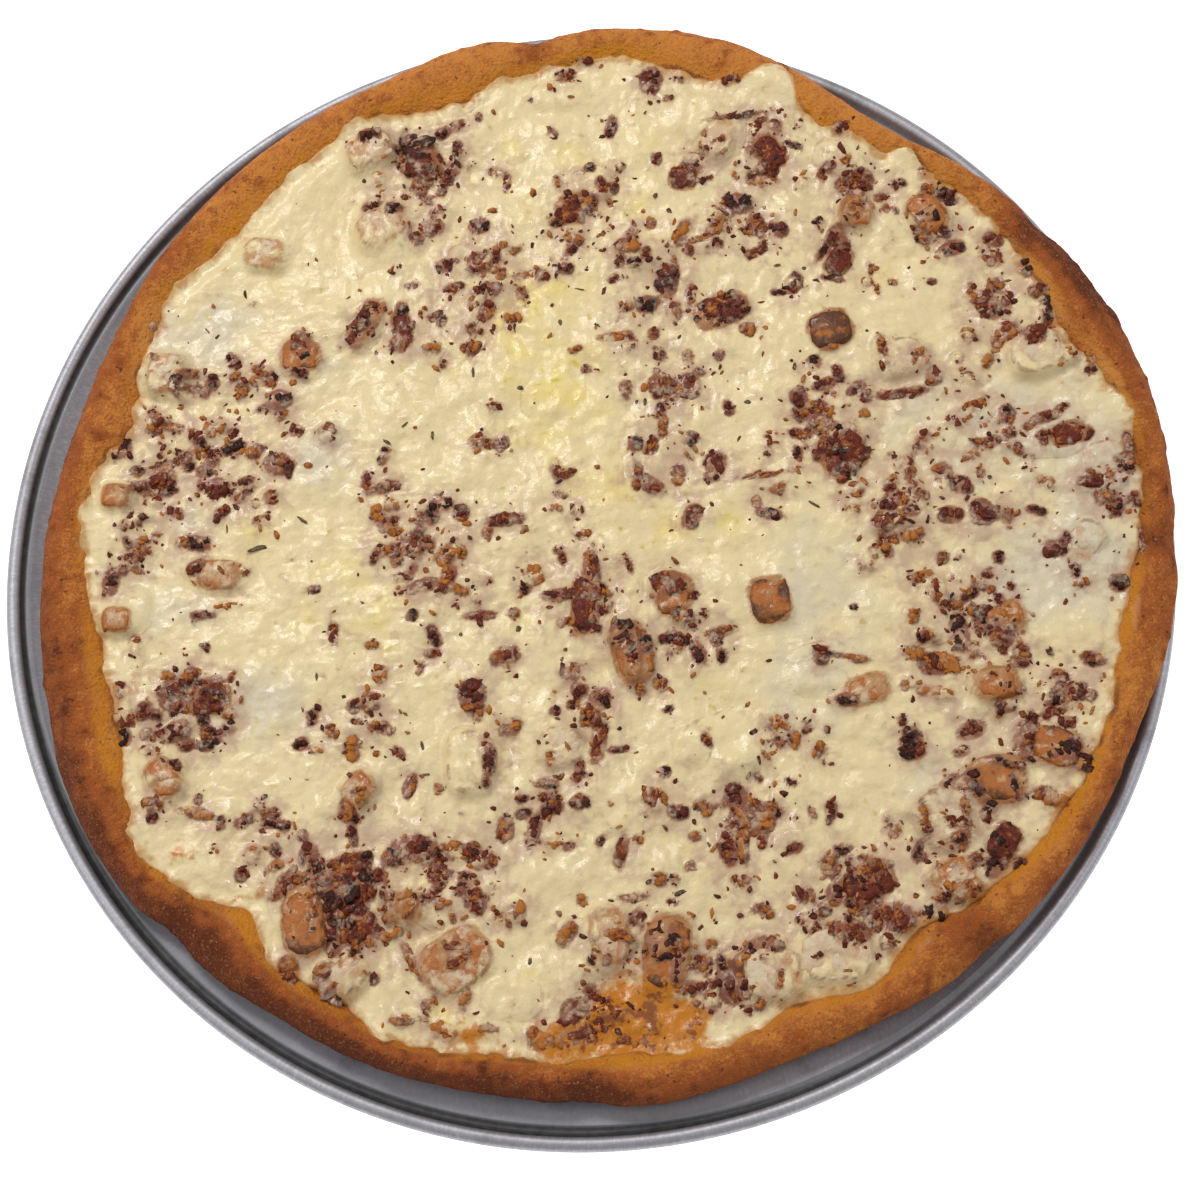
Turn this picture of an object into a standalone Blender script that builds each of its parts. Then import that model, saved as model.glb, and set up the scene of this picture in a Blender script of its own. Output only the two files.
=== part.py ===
"""A whole pan pizza of white cheese, chicken and bacon, in the shallow aluminium pan it was baked in.

Sizes are in metres, with +Z up. The origin is under the middle of the pan, on the face it stands on, and
+Y is the far side as the pizza is looked at. The pan is a turned sheet with a rolled rim. The crust is one
solid: a thin round of dough whose rim swells up inside the pan and over its bead. The cheese fills the
crust and laps up its inner slope, and small bacon crumbles are grown into it. The chicken cubes and the
large pieces of bacon are solids of their own, each sunk in a pocket of the cheese.
"""

import math
import random

import bmesh
import bpy
from mathutils import Euler, Vector, noise

MM = 0.001

# Pan
PAN_RADIUS = 228.6 * MM  # an 18 in pan
PAN_SHEET = 1.5 * MM
PAN_FLAT_RADIUS = 196 * MM
PAN_GROOVE_RADIUS = 221.2 * MM
PAN_GROOVE_HEIGHT = 8.2 * MM
BEAD_RADIUS = 2.8 * MM
PAN_SIDES = 56
BEAD_STEPS = 5

# Crust
CRUST_CENTRE = Vector((5 * MM, 5 * MM, 0))  # the dough lies a little off the pan's middle
CRUST_RADIUS = 219 * MM
CRUST_WIDTH = 17 * MM
CRUST_CROWN = 22 * MM  # height of the rim's top
CRUST_FLOOR = 8.5 * MM  # height of the dough under the cheese
CRUST_LINE_DROP = 4 * MM  # how far the cheese line lies below the crown
SLOPE_RUN = 12 * MM
BED_GAP = 0.6 * MM
RIM_SIDES = 128

# Swellings and pinches of the rim, each its angle and half width in degrees and its size in millimetres
RIM_LOBES = (
    (16, 16, 4.5),
    (56, 12, -8.5),
    (84, 12, 4.5),
    (105, 7, 3.0),
    (163, 17, -5.0),
    (212, 17, 6.0),
    (262, 10, -2.0),
    (294, 13, -5.0),
    (354, 10, 3.5),
)
# Where the rim shows wider or narrower than usual, in the same terms
WIDTH_LOBES = (
    (8, 10, -6.5),
    (25, 5, 4.0),
    (50, 10, -5.0),
    (76, 5, 3.0),
    (89, 5, -3.0),
    (106, 5, 7.0),
    (137, 8, 4.0),
    (151, 4, -3.0),
    (166, 4, 6.0),
    (199, 13, 8.5),
    (218, 3, -3.0),
    (229, 4, 8.0),
    (252, 9, -6.0),
    (300, 4, -4.5),
    (309, 3.5, 4.5),
    (329, 9, -6.0),
    (351, 5, 2.5),
)
# Creases where the dough was pinched or has split
CREASES = (-2, 36, 97, 225, 270, 312)
CREASE_WIDTH = 2.4
CREASE_DEPTH = 1.8 * MM

# Cheese
CHEESE_MIDDLE = 15.6 * MM
CHEESE_LIP = 1.7 * MM  # thickness where the cheese ends on the crust
CHEESE_CELLS = 32  # a quarter of RIM_SIDES, so that cheese and crust share their corners
CHEESE_GAP = 0.45 * MM
CHEESE_LUMP = 2.0 * MM
LUMP_SCALE = 22 * MM

# Toppings: middle x and y, length, width, and turn in degrees
CHICKEN = (
    (98, 89, 18, 16, 20),
    (73, -23, 19, 16, 100),
    (136, -109, 24, 17, 120),
    (138, -130, 16, 11, 30),
    (95, -159, 25, 19, 10),
    (72, -166, 21, 19, 0),
    (33, -158, 28, 16, 75),
    (-101, -147, 24, 17, 100),
    (-84, -167, 14, 12, 30),
    (-44, -161, 26, 22, 40),
    (-41, -86, 24, 17, 95),
    (-7, -80, 16, 14, 0),
    (109, -59, 17, 11, 10),
    (156, -94, 22, 18, 0),
    (178, -82, 18, 15, 160),
    (178, 77, 22, 17, 20),
    (126, 77, 17, 15, 0),
    (-142, -11, 16, 12, 0),
    (-180, -30, 11, 10, 0),
    (-184, 21, 11, 10, 0),
    (-168, 73, 17, 14, 80),
    (-89, 171, 20, 14, 25),
    (12, -152, 20, 14, 100),
    (-157, -92, 16, 12, 120),
    (-64, -142, 14, 12, 0),
    (193, -1, 16, 12, 60),
    (162, -31, 15, 12, 30),
    (157, -57, 16, 13, 0),
    (138, 138, 18, 13, 130),
    (109, 139, 13, 12, 0),
    (36, -21, 18, 13, 80),
    (20, -44, 24, 15, 110),
    (54, 174, 18, 13, 60),
    (-131, 126, 15, 13, 0),
    (-83, -97, 14, 11, 50),
    (-114, 81, 16, 14, 0),
    (-83, 137, 20, 17, 30),
)
BACON = (
    (55, 99, 21, 13, 15),
    (-88, 96, 19, 10, 65),
    (-73, 92, 15, 7, 100),
    (-67, 166, 16, 13, 40),
    (40, 158, 11, 10, 0),
    (102, 119, 13, 9, 60),
    (107, -132, 19, 13, 20),
    (-85, -131, 19, 15, 100),
    (1, -24, 22, 9, 90),
    (103, 35, 18, 13, 40),
    (157, -118, 14, 11, 60),
    (125, -80, 11, 8, 110),
    (-6, 145, 13, 9, 100),
    (75, 168, 15, 11, 120),
    (-142, -60, 15, 12, 0),
    (189, 43, 13, 9, 20),
)
CHICKEN_PROUD = 4.5 * MM  # how far a chicken cube stands above the cheese
CHICKEN_DEPTH = 10.5 * MM
BACON_PROUD = 2.6 * MM
BACON_DEPTH = 6 * MM
LUMP_SWELL = 1.06  # the most that a topping swells past its nominal size
LEAN = 0.06
POCKET_GAP = 0.4 * MM
POCKET_FLOOR = 1.4 * MM  # cheese left between a pocket and the dough

# Crumbles
CRUMBLES = 50
CRUMBLE_RADIUS = (3.2 * MM, 5.2 * MM)
CRUMBLE_CLEARANCE = 1.2 * MM
SEED = 7

COLOURS = {
    "pan": ((0.30, 0.30, 0.33), 0.35, 1.0),
    "crust": ((0.42, 0.16, 0.045), 0.7, 0.0),
    "cheese": ((0.80, 0.66, 0.38), 0.4, 0.0),
    "chicken": ((0.55, 0.30, 0.13), 0.55, 0.0),
    "bacon": ((0.16, 0.035, 0.018), 0.4, 0.0),
}


def clear_scene():
    """Removes every object that the scene starts with."""
    for item in list(bpy.data.objects):
        bpy.data.objects.remove(item, do_unlink=True)


def finish_for(name):
    """The Principled material of one kind of piece, made once."""
    if name in bpy.data.materials:
        return bpy.data.materials[name]
    colour, roughness, metallic = COLOURS[name]
    material = bpy.data.materials.new(name)
    material.use_nodes = True
    shader = material.node_tree.nodes["Principled BSDF"]
    shader.inputs["Base Color"].default_value = (*colour, 1)
    shader.inputs["Roughness"].default_value = roughness
    shader.inputs["Metallic"].default_value = metallic
    return material


def add_object(name, bm, finish, sharp_degrees=40):
    """Turns a finished bmesh into a smooth-shaded object of triangles, which a Boolean cuts truly."""
    bmesh.ops.triangulate(bm, faces=bm.faces)
    mesh = bpy.data.meshes.new(name)
    bm.to_mesh(mesh)
    bm.free()
    mesh.shade_smooth()
    mesh.set_sharp_from_angle(angle=math.radians(sharp_degrees))
    mesh.materials.append(finish_for(finish))
    made = bpy.data.objects.new(name, mesh)
    bpy.context.scene.collection.objects.link(made)
    return made


def lobe_sum(angle, lobes):
    """Adds up smooth swellings round the rim at one angle in radians, in metres."""
    total = 0.0
    for middle, half_width, size in lobes:
        turn = (math.degrees(angle) - middle + 180) % 360 - 180
        total += size * MM * math.exp(-((turn / half_width) ** 2))
    return total


def crease(angle):
    """How deep the rim is pinched at one angle, from 0 to 1."""
    total = 0.0
    for middle in CREASES:
        turn = (math.degrees(angle) - middle + 180) % 360 - 180
        total += math.exp(-((turn / CREASE_WIDTH) ** 2))
    return total


def rim_radius(angle):
    """The crust's outermost radius about its own middle."""
    return CRUST_RADIUS + lobe_sum(angle, RIM_LOBES) - crease(angle) * CREASE_DEPTH


def line_radius(angle):
    """The radius where the cheese ends and the bare rim begins."""
    return CRUST_RADIUS + lobe_sum(angle, RIM_LOBES) - CRUST_WIDTH - lobe_sum(angle, WIDTH_LOBES)


def crown_height(angle):
    """The height of the rim's top, which waves a little and dips at the creases."""
    wave = 0.7 * MM * math.sin(3 * angle + 1) + 0.5 * MM * math.sin(7 * angle)
    return CRUST_CROWN + wave - 0.8 * crease(angle) * CREASE_DEPTH


def bed_height(radius):
    """The lowest that dough may lie at a distance from the pan's middle, just clear of the pan."""
    steps = (
        (PAN_FLAT_RADIUS, PAN_SHEET),
        (212 * MM, 5.2 * MM),
        (218 * MM, 8.0 * MM),
        (223 * MM, 10.6 * MM),
        (PAN_RADIUS, PAN_GROOVE_HEIGHT + BEAD_RADIUS + 0.1 * MM),
    )
    if radius <= steps[0][0]:
        return steps[0][1] + BED_GAP
    for (start, low), (end, high) in zip(steps, steps[1:]):
        if radius <= end:
            return low + (high - low) * (radius - start) / (end - start) + BED_GAP
    return steps[-1][1] + BED_GAP


def crust_point(angle, radius, height):
    """A point of the crust from its angle and radius about the crust's middle."""
    return CRUST_CENTRE + Vector((radius * math.cos(angle), radius * math.sin(angle), height))


def bed_point(angle, radius, lift):
    """A point of the crust's underside, lifted clear of the pan below it."""
    point = crust_point(angle, radius, 0)
    point.z = bed_height(point.xy.length) + lift
    return point


def crust_section(angle):
    """The crust's outline at one angle, from its underside round the rim to the dough's floor."""
    outer = rim_radius(angle)
    line = line_radius(angle)
    width = outer - line
    crown = crown_height(angle)
    foot = bed_point(angle, outer - 2.5 * MM, 0.5 * MM)
    belly = (foot.z + crown) / 2 - 0.5 * MM
    return (
        bed_point(angle, 186 * MM, 0),
        bed_point(angle, outer - 10 * MM, 0),
        foot,
        crust_point(angle, outer, belly),
        crust_point(angle, outer - 0.12 * width, crown - 3.6 * MM),
        crust_point(angle, outer - 0.30 * width, crown - 0.7 * MM),
        crust_point(angle, outer - 0.62 * width, crown - 0.3 * MM),
        crust_point(angle, line, crown - CRUST_LINE_DROP),
        crust_point(angle, line - SLOPE_RUN, CRUST_FLOOR),
    )


def loft(bm, rings):
    """Skins a stack of closed rings that have equal counts, and closes both ends."""
    count = len(rings[0])
    order = bm.verts.layers.int.new("order")
    start = bmesh.ops.create_circle(bm, segments=count, radius=1)["verts"]
    for index, vert in enumerate(start):
        vert[order] = index
        vert.co = rings[0][index]
    edges = bm.edges[:]
    bm.faces.new(start)
    for ring in rings[1:]:
        made = bmesh.ops.extrude_edge_only(bm, edges=edges)["geom"]
        verts = [item for item in made if isinstance(item, bmesh.types.BMVert)]
        for vert in verts:
            vert.co = ring[vert[order]]
        fresh = set(verts)
        edges = [item for item in made if isinstance(item, bmesh.types.BMEdge) and fresh.issuperset(item.verts)]
    bmesh.ops.contextual_create(bm, geom=edges)
    bmesh.ops.recalc_face_normals(bm, faces=bm.faces)


def build_pan():
    """The pan: a turned sheet, flat in the middle, with a shallow wall, a groove and a rolled bead."""
    bead_middle = PAN_RADIUS - BEAD_RADIUS
    bead = []
    for step in range(BEAD_STEPS + 1):
        angle = math.radians(-130 + step * 290 / BEAD_STEPS)
        bead.append((bead_middle + BEAD_RADIUS * math.cos(angle), PAN_GROOVE_HEIGHT + BEAD_RADIUS * math.sin(angle)))
    profile = [(0, 0), (PAN_FLAT_RADIUS, 0), (212 * MM, 3.3 * MM), (219 * MM, PAN_GROOVE_HEIGHT - 1.6 * MM)]
    profile += bead
    profile += [
        (PAN_GROOVE_RADIUS, PAN_GROOVE_HEIGHT - 0.3 * MM),
        (PAN_GROOVE_RADIUS - 2.2 * MM, PAN_GROOVE_HEIGHT),
        (211 * MM, 3.3 * MM + PAN_SHEET),
        (PAN_FLAT_RADIUS, PAN_SHEET),
        (0, PAN_SHEET),
    ]
    bm = bmesh.new()
    verts = [bm.verts.new((radius, 0, height)) for radius, height in profile]
    edges = [bm.edges.new(pair) for pair in zip(verts, verts[1:])]
    bmesh.ops.spin(
        bm, geom=verts + edges, axis=(0, 0, 1), cent=(0, 0, 0), steps=PAN_SIDES, angle=math.tau, use_merge=True
    )
    bmesh.ops.remove_doubles(bm, verts=bm.verts, dist=0.00001)
    bmesh.ops.recalc_face_normals(bm, faces=bm.faces)
    return add_object("pan", bm, "pan")


def build_crust():
    """The crust: the thin round of dough and its swollen rim, as one solid."""
    sections = [crust_section(math.tau * side / RIM_SIDES) for side in range(RIM_SIDES)]
    bm = bmesh.new()
    loft(bm, list(zip(*sections)))
    return add_object("crust", bm, "crust", sharp_degrees=60)


def disc_place(a, b):
    """Takes a point of the square from -1 to 1 to its share of the radius and its angle on a round."""
    if a == 0 and b == 0:
        return 0.0, 0.0
    if abs(a) >= abs(b):
        return abs(a), math.pi / 4 * (b / a) + (math.pi if a < 0 else 0)
    return abs(b), math.pi / 2 - math.pi / 4 * (a / b) + (math.pi if b < 0 else 0)


def cheese_top(x, y):
    """The height of the cheese at a place, level in the middle and rising to its line on the crust."""
    place = Vector((x, y)) - CRUST_CENTRE.xy
    angle = math.atan2(place.y, place.x)
    share = min(place.length / line_radius(angle), 1)
    rise = max(0, (share - 0.8) / 0.2) ** 2
    edge = crown_height(angle) - CRUST_LINE_DROP + CHEESE_LIP
    lump = noise.noise(Vector((x, y, 0)) / LUMP_SCALE) + 0.5 * noise.noise(Vector((x, y, 1)) / LUMP_SCALE * 2)
    return CHEESE_MIDDLE + (edge - CHEESE_MIDDLE) * rise + CHEESE_LUMP * lump * (1 - rise)


def dough_height(x, y):
    """The height of the dough under the cheese at a place."""
    place = Vector((x, y)) - CRUST_CENTRE.xy
    angle = math.atan2(place.y, place.x)
    climb = (place.length - line_radius(angle)) / SLOPE_RUN + 1
    top = crown_height(angle) - CRUST_LINE_DROP
    return CRUST_FLOOR + (top - CRUST_FLOOR) * min(max(climb, 0), 1.3)


def build_cheese_body():
    """The cheese before its toppings: a lumpy round with a thin lip that laps up the crust."""
    bm = bmesh.new()
    bmesh.ops.create_grid(bm, x_segments=CHEESE_CELLS, y_segments=CHEESE_CELLS, size=1)
    for vert in bm.verts:
        share, angle = disc_place(round(vert.co.x, 6), round(vert.co.y, 6))
        mean = CRUST_RADIUS - CRUST_WIDTH
        radius = share * (mean + (line_radius(angle) - mean) * share**6)
        vert.co = crust_point(angle, radius, 0)
        vert.co.z = cheese_top(vert.co.x, vert.co.y)
    edges = [edge for edge in bm.edges if edge.is_boundary]
    for inset, height in ((0, None), (SLOPE_RUN, CRUST_FLOOR)):
        made = bmesh.ops.extrude_edge_only(bm, edges=edges)["geom"]
        verts = [item for item in made if isinstance(item, bmesh.types.BMVert)]
        for vert in verts:
            place = vert.co - CRUST_CENTRE
            angle = math.atan2(place.y, place.x)
            low = crown_height(angle) - CRUST_LINE_DROP if height is None else height
            vert.co = crust_point(angle, line_radius(angle) - inset, low + CHEESE_GAP)
        fresh = set(verts)
        edges = [item for item in made if isinstance(item, bmesh.types.BMEdge) and fresh.issuperset(item.verts)]
    bmesh.ops.contextual_create(bm, geom=edges)
    bmesh.ops.recalc_face_normals(bm, faces=bm.faces)
    return add_object("cheese", bm, "cheese")


def stretch(bm, factors):
    """Scales a mesh about its middle by one factor for each axis."""
    bmesh.ops.scale(bm, vec=factors, verts=bm.verts)


def topping_place(topping, proud, depth):
    """Where one topping sits: its middle, its size and its turn, clear of the dough below it."""
    x, y, length, width = (value * MM for value in topping[:4])
    top = cheese_top(x, y) + proud
    lowest = CRUST_FLOOR
    for step in range(8):
        angle = math.tau * step / 8
        reach = 0.5 * length
        lowest = max(lowest, dough_height(x + reach * math.cos(angle), y + reach * math.sin(angle)))
    bottom = max(top - depth, lowest + CHEESE_GAP + POCKET_FLOOR)
    return Vector((x, y, (top + bottom) / 2)), (length, width, top - bottom), math.radians(topping[4])


def set_down(bm, place, seed):
    """Turns a topping or its pocket to how it lies, with a slight lean, and moves it to its middle."""
    middle, _, turn = place
    rng = random.Random(seed)
    lean = Euler((rng.uniform(-LEAN, LEAN), rng.uniform(-LEAN, LEAN), turn)).to_matrix()
    bmesh.ops.rotate(bm, matrix=lean, verts=bm.verts)
    bmesh.ops.translate(bm, vec=middle, verts=bm.verts)


def build_topping(name, finish, place, seed):
    """One topping: a cube with its corners pulled in and its faces knocked out of true."""
    size = place[1]
    rng = random.Random(seed)
    bm = bmesh.new()
    bmesh.ops.create_cube(bm, size=2)
    bmesh.ops.subdivide_edges(bm, edges=bm.edges, cuts=1, use_grid_fill=True)
    for vert in bm.verts:
        vert.co = vert.co.lerp(vert.co.normalized() * 1.25, 0.4) / 2.2
        for axis in range(3):
            vert.co[axis] *= rng.uniform(0.9, LUMP_SWELL)
    stretch(bm, size)
    set_down(bm, place, seed)
    return add_object(name, bm, finish, sharp_degrees=35)


def build_pocket(name, place, seed):
    """The cutter for one topping's pocket: a block with its upright edges cut off, just larger than it."""
    size = place[1]
    bm = bmesh.new()
    bmesh.ops.create_cube(bm, size=1)
    upright = [edge for edge in bm.edges if abs(edge.verts[0].co.z - edge.verts[1].co.z) > 0.5]
    stretch(bm, [side * LUMP_SWELL + 2 * POCKET_GAP for side in size])
    corner = 0.07 * (size[0] + size[1])
    bmesh.ops.bevel(
        bm, geom=upright, offset=corner, affect="EDGES", segments=1, profile=0.5, material=-1, clamp_overlap=True
    )
    set_down(bm, place, seed)
    return add_object(name, bm, "cheese")


def topping_list():
    """Every separate topping as its name, finish, place and seed."""
    listed = []
    for index, topping in enumerate(CHICKEN, 1):
        listed.append((f"chicken_{index:02d}", "chicken", topping_place(topping, CHICKEN_PROUD, CHICKEN_DEPTH), index))
    for index, topping in enumerate(BACON, 1):
        place = topping_place(topping, BACON_PROUD, BACON_DEPTH)
        listed.append((f"bacon_{index:02d}", "bacon", place, 100 + index))
    return listed


def crumble_places(rng, toppings):
    """Spreads the crumbles evenly over the cheese on a spiral, moved at random and clear of the toppings."""
    places = []
    step = 0
    while len(places) < CRUMBLES and step < 6 * CRUMBLES:
        step += 1
        share = math.sqrt((step % (2 * CRUMBLES) + 0.5) / (2 * CRUMBLES))
        angle = step * math.pi * (3 - math.sqrt(5))
        reach = share * (CRUST_RADIUS - CRUST_WIDTH)
        x = CRUST_CENTRE.x + reach * math.cos(angle) + rng.uniform(-6, 6) * MM
        y = CRUST_CENTRE.y + reach * math.sin(angle) + rng.uniform(-6, 6) * MM
        radius = rng.uniform(*CRUMBLE_RADIUS)
        spot = Vector((x, y))
        room = line_radius(math.atan2(y - CRUST_CENTRE.y, x - CRUST_CENTRE.x)) - 7 * MM
        if (spot - CRUST_CENTRE.xy).length + radius > room:
            continue
        near = any(
            (spot - middle.xy).length < radius + 0.5 * math.hypot(size[0], size[1]) + CRUMBLE_CLEARANCE
            for _, _, (middle, size, _), _ in toppings
        )
        near = near or any((spot - other).length < 2.6 * radius for other, _ in places)
        if not near:
            places.append((spot, radius))
    return places


def build_crumbles(toppings):
    """The bacon crumbles: small faceted nuggets, half sunk in the cheese."""
    rng = random.Random(SEED)
    made = []
    for (x, y), radius in crumble_places(rng, toppings):
        bm = bmesh.new()
        bmesh.ops.create_icosphere(bm, subdivisions=1, radius=1)
        stretch(bm, (radius * rng.uniform(0.8, 1.15), radius * rng.uniform(0.6, 0.9), radius * rng.uniform(0.5, 0.75)))
        turn = Euler((rng.uniform(-0.4, 0.4), rng.uniform(-0.4, 0.4), rng.uniform(0, math.tau)))
        bmesh.ops.rotate(bm, matrix=turn.to_matrix(), verts=bm.verts)
        bmesh.ops.translate(bm, vec=(x, y, cheese_top(x, y) + 0.15 * radius), verts=bm.verts)
        made.append(add_object(f"crumble_{len(made)}", bm, "bacon"))
    return made


def combine(body, pieces, operation):
    """Joins pieces to a body, or cuts them out of it, with one Boolean, and removes the pieces."""
    group = bpy.data.collections.new(operation.lower())
    bpy.context.scene.collection.children.link(group)
    for piece in pieces:
        bpy.context.scene.collection.objects.unlink(piece)
        group.objects.link(piece)
        piece.hide_render = True
        piece.display_type = "WIRE"
    modifier = body.modifiers.new(operation.lower(), "BOOLEAN")
    modifier.operation = operation
    modifier.operand_type = "COLLECTION"
    modifier.collection = group
    modifier.solver = "EXACT"
    bpy.context.view_layer.update()
    shaped = bpy.data.meshes.new_from_object(body.evaluated_get(bpy.context.evaluated_depsgraph_get()))
    body.modifiers.remove(modifier)
    body.data = shaped
    for piece in pieces:
        bpy.data.objects.remove(piece, do_unlink=True)
    bpy.data.collections.remove(group)


def build_cheese(toppings):
    """The cheese with its crumbles grown in and a pocket cut for every separate topping."""
    cheese = build_cheese_body()
    combine(cheese, build_crumbles(toppings), "UNION")
    cutters = [build_pocket(f"pocket_{name}", place, seed) for name, _, place, seed in toppings]
    combine(cheese, cutters, "DIFFERENCE")
    return cheese


def main():
    """Builds the whole pizza in its pan."""
    clear_scene()
    toppings = topping_list()
    build_pan()
    build_crust()
    build_cheese(toppings)
    for name, finish, place, seed in toppings:
        build_topping(name, finish, place, seed)


main()
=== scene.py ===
"""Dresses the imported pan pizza: pan, crust, cheese, chicken, bacon and herbs, with a stage and a camera."""

import math
import random
from collections import namedtuple
from functools import cache

import bmesh
import bpy
import numpy as np
from bpy.props import FloatProperty, FloatVectorProperty, IntProperty, PointerProperty
from mathutils import Euler, Matrix, Vector, noise
from mathutils.bvhtree import BVHTree


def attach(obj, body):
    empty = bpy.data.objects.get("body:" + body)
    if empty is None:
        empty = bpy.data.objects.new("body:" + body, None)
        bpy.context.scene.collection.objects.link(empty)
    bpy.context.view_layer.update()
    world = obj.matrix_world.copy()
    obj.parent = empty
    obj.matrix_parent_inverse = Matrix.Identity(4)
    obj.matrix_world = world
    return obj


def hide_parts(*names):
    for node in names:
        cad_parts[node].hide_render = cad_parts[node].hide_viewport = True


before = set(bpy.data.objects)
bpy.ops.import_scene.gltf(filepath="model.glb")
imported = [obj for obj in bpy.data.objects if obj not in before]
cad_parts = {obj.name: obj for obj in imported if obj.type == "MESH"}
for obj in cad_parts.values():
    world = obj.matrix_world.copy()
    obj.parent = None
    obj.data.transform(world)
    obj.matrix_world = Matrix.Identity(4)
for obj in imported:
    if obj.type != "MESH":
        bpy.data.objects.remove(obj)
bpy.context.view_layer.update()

bl_info = {
    "name": "Pan Pizza",
    "version": (1, 0, 0),
    "blender": (4, 5, 0),
    "location": "View3D > Sidebar > Pan Pizza",
    "description": "Builds the looks of a white-cheese pan pizza around its fixed frame",
    "category": "Object",
}

MM = 0.001
BODY = "root"

# Pan, as the solid has it
PAN_RADIUS = 228.6 * MM
PAN_SHEET = 1.5 * MM
PAN_FLAT_RADIUS = 196 * MM
PAN_GROOVE_RADIUS = 221.2 * MM
PAN_GROOVE_HEIGHT = 8.2 * MM
BEAD_RADIUS = 2.8 * MM
PAN_TURNS = 288
BEAD_STEPS = 18
BEAD_START, BEAD_SWEEP = -130, 290  # in degrees
MERGE_GAP = 0.000005
# Where the pan's looks change: the radii, and for the ring's top the heights, from none to full
UPPER_WALL_ZONE = (0.2145, 0.2205)
RING_ZONE = (0.2205, 0.2222)
BEAD_ZONE = (0.2222, 0.2232)
RING_END = (0.2262, 0.2268)
RING_TOP = (0.0088, 0.0100)
RING_SPREAD = 0.0020

# Crust, as the solid has it
CRUST_CENTRE = Vector((5 * MM, 5 * MM, 0))
CRUST_RADIUS = 219 * MM
CRUST_WIDTH = 17 * MM
CRUST_CROWN = 22 * MM
CRUST_FLOOR = 8.5 * MM
CRUST_LINE_DROP = 4 * MM
SLOPE_RUN = 12 * MM
BED_GAP = 0.6 * MM
BED_RADII = (PAN_FLAT_RADIUS, 212 * MM, 218 * MM, 223 * MM, PAN_RADIUS)
BED_HEIGHTS = (PAN_SHEET, 5.2 * MM, 8.0 * MM, 10.6 * MM, PAN_GROOVE_HEIGHT + BEAD_RADIUS + 0.1 * MM)
DOUGH_FOOT_RADIUS = 186 * MM
# The rim from outside to inside: the share of its width, and how far below its crown it lies there
RIM_SHAPE = ((0.12, 3.6 * MM), (0.30, 0.7 * MM), (0.62, 0.3 * MM))
# Swellings and pinches of the rim: the angle and half width of each in degrees, and its size in millimetres
RIM_LOBES = (
    (16, 16, 4.5), (56, 12, -8.5), (84, 12, 4.5), (105, 7, 3.0), (163, 17, -5.0), (212, 17, 6.0),
    (262, 10, -2.0), (294, 13, -5.0), (354, 10, 3.5),
)
# Where the rim shows wider or narrower than usual, in the same terms
WIDTH_LOBES = (
    (8, 10, -6.5), (25, 5, 4.0), (50, 10, -5.0), (76, 5, 3.0), (89, 5, -3.0), (106, 5, 7.0), (137, 8, 4.0),
    (151, 4, -3.0), (166, 4, 6.0), (199, 13, 8.5), (218, 3, -3.0), (229, 4, 8.0), (252, 9, -6.0),
    (300, 4, -4.5), (309, 3.5, 4.5), (329, 9, -6.0), (351, 5, 2.5),
)
# Creases where the dough was pinched or has split
CREASES = (-2, 36, 97, 225, 270, 312)
CREASE_WIDTH = 2.4
CREASE_DEPTH = 1.8 * MM
CRUST_TURNS = 1200
CRUST_STEPS = 46

# How brown the rim is round its angles, partly its own baking and partly painted light and shade: middle and half width
# in degrees, and how much browner
TOAST_AND_SHADE_LOBES = (
    (96, 34, 0.14), (58, 10, -0.16), (195, 40, 0.30), (255, 34, 0.36), (315, 20, 0.12), (0, 18, 0.22),
    (28, 12, 0.30), (85, 25, -0.12),
)
# How much browner its outer half is than its inner half, partly its own baking and partly painted shade, in the same
# terms
OUTER_TOAST_AND_SHADE_LOBES = (
    (238, 26, 0.52), (270, 14, 0.30), (205, 16, 0.34), (330, 14, 0.24), (300, 14, 0.14), (30, 11, 0.54),
    (150, 14, 0.20), (180, 12, 0.16), (60, 8, 0.12), (0, 10, 0.10),
)

# Cheese
CHEESE_MIDDLE = 15.6 * MM
CHEESE_LIP = 1.7 * MM
CHEESE_LUMP = 2.0 * MM
LUMP_SCALE = 22 * MM
CHEESE_CELLS = 304
LIP_START = 0.3 * MM
LIP_RISE = 1.5 * MM
LIP_RUN = 3.6 * MM
LIP_WAVE = 0.45 * MM
EDGE_BLEND = 9 * MM
OIL_SINK = 0.6 * MM
SOAK_CELL = 2 * MM
SOAK_CELLS = 260
DOUGH_RISE_REACH = 34 * MM  # how far inside its edge the cheese may lie on rising dough
# Where the cheese runs out over the crust: middle and half width in degrees, and reach in millimetres
TONGUES = (
    (69.5, 3.0, 15), (52, 1.5, 7), (60, 3, 2), (84, 3, -2), (2, 2.5, -2), (36, 3, 2.5), (338, 4, 3),
    (330, 3, -2), (285, 3, 3), (205, 3, -2.5), (215, 2.5, 4), (178, 4, 2), (120, 3, 2.5), (112, 3, -2.5),
)

# Camera, found from the outline of the pan in the photograph
CAMERA_AZIMUTH = math.radians(11.383)
CAMERA_ELEVATION = math.radians(72.436)
CAMERA_ROLL = math.radians(-11.383)
CAMERA_DISTANCE = 850 * MM
CAMERA_TARGET = Vector((7.195, -21.138, 12.0)) * MM
CAMERA_LENS = 65.93
CAMERA_SENSOR = 36
PHOTO_SIDE = 1200
PHOTO_MIDDLE = (580, 550)  # a pixel near the middle of the pizza

# Stage, in metres
FLOOR_REACH = 4
FLOOR_GAP = 0.2 * MM
CAMERA_REACH = 20
KEY_PLACE = (-0.5, 0.85, 1.3)
KEY_SIDE = 0.5
KEY_COLOUR = (1.0, 0.98, 0.95)
LEFT_PLACE = (-1.05, -0.1, 1.05)
RIGHT_PLACE = (1.05, 0.1, 1.05)
SOFTBOX_SIDE = 0.8
WHITE = (1.0, 1.0, 1.0)

# How high the toppings lie, near enough, where pixels of the photograph are turned into places
TOPPING_HEIGHT = 17 * MM
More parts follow.
